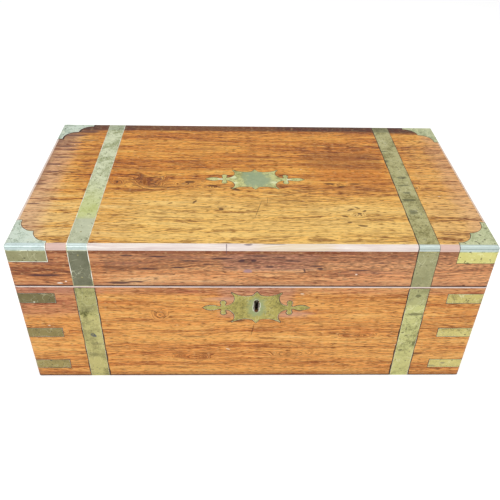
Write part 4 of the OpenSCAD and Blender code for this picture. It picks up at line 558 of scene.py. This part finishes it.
def edge_bead(name, body, nodes, side, width, lift, material, towards=0):
    """A low bead along the rims of inlaid pieces: a bar of four sides carried along each rim
    edge in steps of about STEP, from the edge sideways by a width that swells and thins, and
    from SUNK under the skin up to lift. side 1 puts it on the wood and -1 on the piece, and
    towards -1 or 1 keeps only edges that face that way along X."""
    STEP, SUNK, WELD, LONGEST_MITRE = 2 * MM, 0.05 * MM, 0.001 * MM, 1.6
    OFF_JOINT, OFF_GROUND, FACING = 0.25 * MM, 0.05 * MM, 0.7
    verts, faces, total = [], [], 0
    for node in nodes:
        points, ends, normal = rim(node)
        way = points[ends[:, 1]] - points[ends[:, 0]]
        length = np.linalg.norm(way, axis=1)
        out = np.cross(way / length[:, None], normal)
        sum_out, sum_normal = np.zeros_like(points), np.zeros_like(points)
        for k in (0, 1):
            np.add.at(sum_out, ends[:, k], out)
            np.add.at(sum_normal, ends[:, k], normal)
        sum_normal /= np.linalg.norm(sum_normal, axis=1)[:, None] + 1e-12
        size = np.linalg.norm(sum_out, axis=1)[:, None] + 1e-12
        mitre = sum_out / size * np.minimum(2 / size, LONGEST_MITRE)
        steps = np.maximum(1, np.ceil(length / STEP).astype(int))
        row = np.repeat(np.arange(len(ends)), steps)
        start_of = np.repeat(np.cumsum(steps) - steps, steps)
        t0 = ((np.arange(len(row)) - start_of) / steps[row])[:, None]
        t1 = t0 + (1 / steps[row])[:, None]
        ring = []
        for t in (t0, t1):
            at = points[ends[row, 0]] * (1 - t) + points[ends[row, 1]] * t
            sideways = mitre[ends[row, 0]] * (1 - t) + mitre[ends[row, 1]] * t
            up = sum_normal[ends[row, 0]] * (1 - t) + sum_normal[ends[row, 1]] * t
            x, y, z = at.T / MM
            slow = np.sin(0.21 * x + 0.17 * y - 0.24 * z)
            quick = np.sin(0.7 * x - 0.53 * y + 0.61 * z)
            swell = 0.8 + 0.2 * slow + 0.08 * quick
            far = at + sideways * (side * width * swell)[:, None]
            ring.append([at - up * SUNK, at + up * lift, far + up * lift, far - up * SUNK])
        # The bead stays on its own half of the case and above the ground
        middle = (ring[0][2] + ring[1][2]) / 2
        gap = ((middle[:, 2] - JOINT_BACK[1]) * math.cos(JOINT_SLOPE)
               + (middle[:, 1] - JOINT_BACK[0]) * math.sin(JOINT_SLOPE))
        own = gap > OFF_JOINT if body == "lid" else gap < -OFF_JOINT
        own &= np.minimum(ring[0][3][:, 2], ring[0][0][:, 2]) > OFF_GROUND
        if towards:
            own &= out[row, 0] * towards > FACING
        corner = np.stack(ring[0] + ring[1], 1)[own]
        verts.append(corner.reshape(-1, 3))
        order = np.arange(len(corner) * 8).reshape(-1, 8) + total
        for k in range(4):
            n = (k + 1) % 4
            quad = order[:, [k, k + 4, n + 4, n]]
            faces.append(quad if side > 0 else quad[:, ::-1])
        total += len(corner) * 8
    verts = np.concatenate(verts)
    _, first, same = np.unique(np.round(verts / WELD).astype(np.int64), axis=0,
                               return_index=True, return_inverse=True)
    mesh = bpy.data.meshes.new(name)
    mesh.from_pydata(verts[first].tolist(), [], same.reshape(-1)[np.concatenate(faces)].tolist())
    mesh.validate()
    mesh.materials.append(material)
    piece = bpy.data.objects.new(name, mesh)
    bpy.context.scene.collection.objects.link(piece)
    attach(piece, body)


# Hardened wax and dust, matt and almost black
dirt, tree, place, axes = start("old_wax_and_dirt")
crumbs = add(tree, "TexNoise", place, Scale=1 / (3 * MM), Detail=3.0)
crumbs = add(tree, "ValToRGB", crumbs, stops=((0.35, "#251811"), (0.65, "#4c3324")))
add(tree, "OutputMaterial", add(tree, "BsdfPrincipled", Base_Color=crumbs, Roughness=0.8))
# Bare brass that is rubbed every day, so that it stays pale and shiny
rubbed, tree, place, axes = start("rubbed_bright_brass")
rubs = add(tree, "TexNoise", place, Scale=1 / (11 * MM), Detail=3.0)
rubs = add(tree, "ValToRGB", rubs, stops=((0.36, "#b9b888"), (0.56, "#f8f8ec")))
add(tree, "OutputMaterial", add(tree, "BsdfPrincipled", Base_Color=rubs, Metallic=0.7, Roughness=0.34))

LID_DIRTY = ["lid_strap_right", "cartouche", "lid_corner_front_left",
             "lid_corner_front_right", "lid_corner_back_left", "lid_corner_back_right"]
LID_BRIGHT = ["lid_strap_left", "lid_corner_front_left", "lid_corner_back_left"]
BASE_INLAY = ["base_strap_left", "base_strap_right", "escutcheon", "base_corner_straps",
              "base_back_straps"]
edge_bead("lid_dirt_lines", "lid", LID_DIRTY, 1, 0.6 * MM, 0.015 * MM, dirt)
edge_bead("base_dirt_lines", "base", BASE_INLAY, 1, 0.8 * MM, 0.015 * MM, dirt)
edge_bead("lid_bright_edges", "lid", LID_BRIGHT, -1, 0.6 * MM, 0.02 * MM, rubbed)
edge_bead("base_bright_edges", "base", BASE_INLAY, -1, 0.12 * MM, 0.02 * MM, rubbed)
# The grooves have opened beside three straps and a corner, and dirt lies in them as a
# black line
edge_bead("base_right_strap_gap", "base", ["base_strap_right"], 1, 1.2 * MM, 0.025 * MM, dirt, towards=-1)
edge_bead("lid_right_strap_gap", "lid", ["lid_strap_right"], 1, 1.1 * MM, 0.025 * MM, dirt, towards=-1)
edge_bead("base_left_strap_gap", "base", ["base_strap_left"], 1, 1.1 * MM, 0.025 * MM, dirt, towards=1)
edge_bead("lid_back_corner_dirt", "lid", ["lid_corner_back_left"], 1, 2.2 * MM, 0.025 * MM, dirt)


# Hinges, lock and screws: cast brass hinges and a brass wall lock with a steel leaf
# spring, all screwed on. Only their edges show while the box is shut.
dress(aged_brass("aged_brass_fittings", "#c4b470", "#a09050", 13.0, rough=0.36, metal=0.9),
      "base_hinge_leaves", "lid_hinge_leaves", "hinge_pins", "lock_case", "lock_bolt",
      "lock_lever", "link_plate", "lid_flap_catch", "base_flap_fixed_leaves", "base_flap_moving_leaves",
      "base_flap_pins", "lid_flap_fixed_leaves", "lid_flap_moving_leaves", "lid_flap_pins")
dress(aged_brass("turned_brass_screws", "#cabb74", "#a89856", 14.0, rough=0.32, metal=0.95),
      "base_screws", "lid_screws")

# The cap with the key pin has never been cleaned, so it is dark behind the keyhole
dress(aged_brass("tarnished_brass_lock_cap", "#4c493e", "#28261f", 13.5, rough=0.5, metal=0.8), "lock_cap")

# Spring steel, hardened and let down to a blue-grey film
steel, tree, place, axes = start("blued_spring_steel")
film = add(tree, "TexNoise", place, Scale=1 / (5 * MM), Detail=3.0)
film = add(tree, "ValToRGB", film, stops=((0.35, "#3a4048"), (0.65, "#6a6c70")))
add(tree, "OutputMaterial", add(tree, "BsdfPrincipled", Base_Color=film, Metallic=1.0, Roughness=0.35))
dress(steel, "lock_spring")


# Side handles: a pressed brass plate with a sunk pan, and a bail of bent brass rod that
# lies in it. The bail is rubbed by the hand and is the brightest brass on the box.
dress(aged_brass("aged_brass_handle_plates", "#c0b878", "#989058", 16.0),
      "handle_plate_left", "handle_plate_right")
bail_brass = aged_brass("rubbed_brass_bails", "#d4c682", "#b2a564", 17.0, rough=0.3, metal=0.92, pits=0.3)
dress(bail_brass, "handle_bail_left", "handle_bail_right")


# Writing flaps: skiver leather pasted into a recess of each flap, with two gilt lines
# tooled round its edge. Use has made its red brown blotchy, and its grain is a net of
# pebbles about 1 mm across.
def pebbled(tree, place):
    """The leather's grain: how far a point is from the middle of its pebble, and the bump."""
    pebble = add(tree, "TexVoronoi", place, Scale=1 / (1.1 * MM), out="Distance")
    return pebble, add(tree, "Bump", Height=pebble, Strength=0.3, Distance=0.12 * MM, invert=True)


def tooled_leather(name, node):
    """Leather with gilt lines 9 and 12 mm inside the node's own outline: the distance to the
    nearest side is the smaller of those along X and Y, and 0 to 1 is the BORDER."""
    BORDER = 20 * MM
    material, tree, place, axes = start(name)
    low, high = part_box(node)
    inward = None
    for k, axis in enumerate("XY"):
        off = add(tree, "Math", axes[axis], (low[k] + high[k]) / 2, operation="SUBTRACT")
        off = add(tree, "Math", off, operation="ABSOLUTE")
        off = add(tree, "Math", (high[k] - low[k]) / 2, off, operation="SUBTRACT")
        inward = off if inward is None else add(tree, "Math", inward, off, operation="MINIMUM")
    hide = add(tree, "TexNoise", place, Scale=1 / (45 * MM), Detail=4.0, Roughness=0.6)
    pebble, bump = pebbled(tree, place)
    body = add(tree, "ValToRGB", hide, stops=((0.3, "#3f1612"), (0.52, "#5f231b"), (0.72, "#824030")))
    shade = add(tree, "ValToRGB", pebble, stops=((0.0, 1.0), (0.6, 0.62)))
    body = add(tree, "Mix", 0.6, body, shade, data_type="RGBA", blend_type="MULTIPLY")
    border = add(tree, "MapRange", inward, 0.0, BORDER)
    tooled = add(tree, "ValToRGB", border, stops=(
        (0.42, 0.0), (0.43, 1.0), (0.47, 1.0), (0.48, 0.0),
        (0.585, 0.0), (0.59, 1.0), (0.61, 1.0), (0.615, 0.0)))
    kept = add(tree, "MapRange", add(tree, "TexNoise", place, Scale=1 / (7 * MM), Detail=4.0), 0.36, 0.5)
    gilt = add(tree, "Math", tooled, kept, operation="MULTIPLY")
    body = add(tree, "Mix", gilt, body, colour("#cfa24a"), data_type="RGBA")
    metal = add(tree, "Math", gilt, 0.8, operation="MULTIPLY")
    rough = add(tree, "MapRange", gilt, 0.0, 1.0, 0.55, 0.35)
    add(tree, "OutputMaterial", add(tree, "BsdfPrincipled", Base_Color=body, Roughness=rough,
                                    Metallic=metal, Normal=bump))
    return material


dress(tooled_leather("tooled_skiver_base", "base_flap_leather"), "base_flap_leather")
dress(tooled_leather("tooled_skiver_lid", "lid_flap_leather"), "lid_flap_leather")

# The pull tab is a scrap of the same leather, untooled and dark from fingers
tab, tree, place, axes = start("handled_skiver_tab")
hide = add(tree, "TexNoise", place, Scale=1 / (6 * MM), Detail=4.0)
pebble, bump = pebbled(tree, place)
hide = add(tree, "ValToRGB", hide, stops=((0.35, "#37130f"), (0.65, "#5c2219")))
add(tree, "OutputMaterial", add(tree, "BsdfPrincipled", Base_Color=hide, Roughness=0.5, Normal=bump))
dress(tab, "base_flap_tab")


# Ink: two square wells of moulded clear glass, faintly green in the thick parts, with
# plain spun brass caps that drop over their necks.
glass, tree, place, axes = start("moulded_clear_glass")
seedy = add(tree, "TexNoise", place, Scale=1 / (8 * MM), Detail=2.0)
tint = add(tree, "ValToRGB", seedy, stops=((0.35, "#d8ece4"), (0.65, "#eef7f3")))
bump = add(tree, "Bump", Height=seedy, Strength=0.15, Distance=0.3 * MM)
add(tree, "OutputMaterial", add(tree, "BsdfPrincipled", Base_Color=tint, Roughness=0.06, Normal=bump,
                                Transmission_Weight=1.0, IOR=1.5))
dress(glass, "inkwell_left", "inkwell_right")
dress(bail_brass, "inkwell_cap_left", "inkwell_cap_right")


# The studio: a pale floor that shows white and keeps the box's soft shadow, a white
# surround, and two large soft boxes, one overhead and one in front.
def seen_ray(tree):
    """1 for rays that look straight, in a mirror or through glass, and 0 for those that light."""
    ray = add(tree, "LightPath", out=None).outputs
    seen = add(tree, "Math", ray["Is Camera Ray"], ray["Is Glossy Ray"], operation="MAXIMUM")
    return add(tree, "Math", seen, ray["Is Transmission Ray"], operation="MAXIMUM")


REACH = 8                                   # from the box to the floor's sides, in metres
PAPER, GLOW, SURROUND = 0.86, 0.5, 0.45     # brightness, where 1 is white
mesh = bpy.data.meshes.new("studio_floor")
mesh.from_pydata([(-REACH, -REACH, 0), (REACH, -REACH, 0), (REACH, REACH, 0), (-REACH, REACH, 0)], [],
                 [(0, 1, 2, 3)])
paper, tree, place, axes = start("pale_studio_paper")
paint = add(tree, "BsdfDiffuse", Color=(PAPER, PAPER, PAPER, 1))
glow = add(tree, "Emission", Strength=add(tree, "Math", seen_ray(tree), GLOW, operation="MULTIPLY"))
add(tree, "OutputMaterial", add(tree, "AddShader", paint, glow))
mesh.materials.append(paper)
floor = bpy.data.objects.new("studio_floor", mesh)
bpy.context.scene.collection.objects.link(floor)

world = bpy.data.worlds.new("studio")
bpy.context.scene.world = world
world.use_nodes = True
tree = world.node_tree
tree.nodes.clear()
level = add(tree, "MapRange", seen_ray(tree), 0.0, 1.0, SURROUND, 1.0)
add(tree, "OutputWorld", add(tree, "Background", Strength=level))

# The brightness of each box's face is given, where 1 is white
for name, place, aim, width, height, level in (
        ("overhead_soft_box", (0.1, 0.1, 1.9), (0, 0, 0), 2.2, 1.4, 1.6),
        ("front_soft_box", (-0.4, -1.9, 1.15), (0, 0, 0.08), 2.2, 1.4, 2.5)):
    lamp = bpy.data.lights.new(name, "AREA")
    lamp.shape, lamp.size, lamp.size_y = "RECTANGLE", width, height
    lamp.energy = level * math.pi * width * height
    box = bpy.data.objects.new(name, lamp)
    bpy.context.scene.collection.objects.link(box)
    box.location = place
    box.rotation_euler = (Vector(aim) - Vector(place)).to_track_quat("-Z", "Y").to_euler()

# The camera stands where the photograph's was, fitted to the corners, joint and straps of
# the box: focal length and picture side in pixels, place in metres, and turns in degrees
FOCAL, PICTURE = 602.3, 500
PLACE, YAW, TILT, ROLL = (-0.0207, -0.5678, 0.5096), -2.12, -37.29, -1.52
camera = bpy.data.cameras.new("camera")
camera.sensor_width = 36
camera.lens = camera.sensor_width * FOCAL / PICTURE
eye = bpy.data.objects.new("camera", camera)
bpy.context.scene.collection.objects.link(eye)
turn = (Matrix.Rotation(math.radians(YAW), 4, "Z") @ Matrix.Rotation(math.radians(TILT), 4, "X")
        @ Matrix.Rotation(math.radians(ROLL), 4, "Y") @ Matrix.Rotation(math.radians(90), 4, "X"))
eye.matrix_world = Matrix.Translation(PLACE) @ turn
bpy.context.scene.camera = eye
bpy.context.scene.view_settings.view_transform = "Standard"
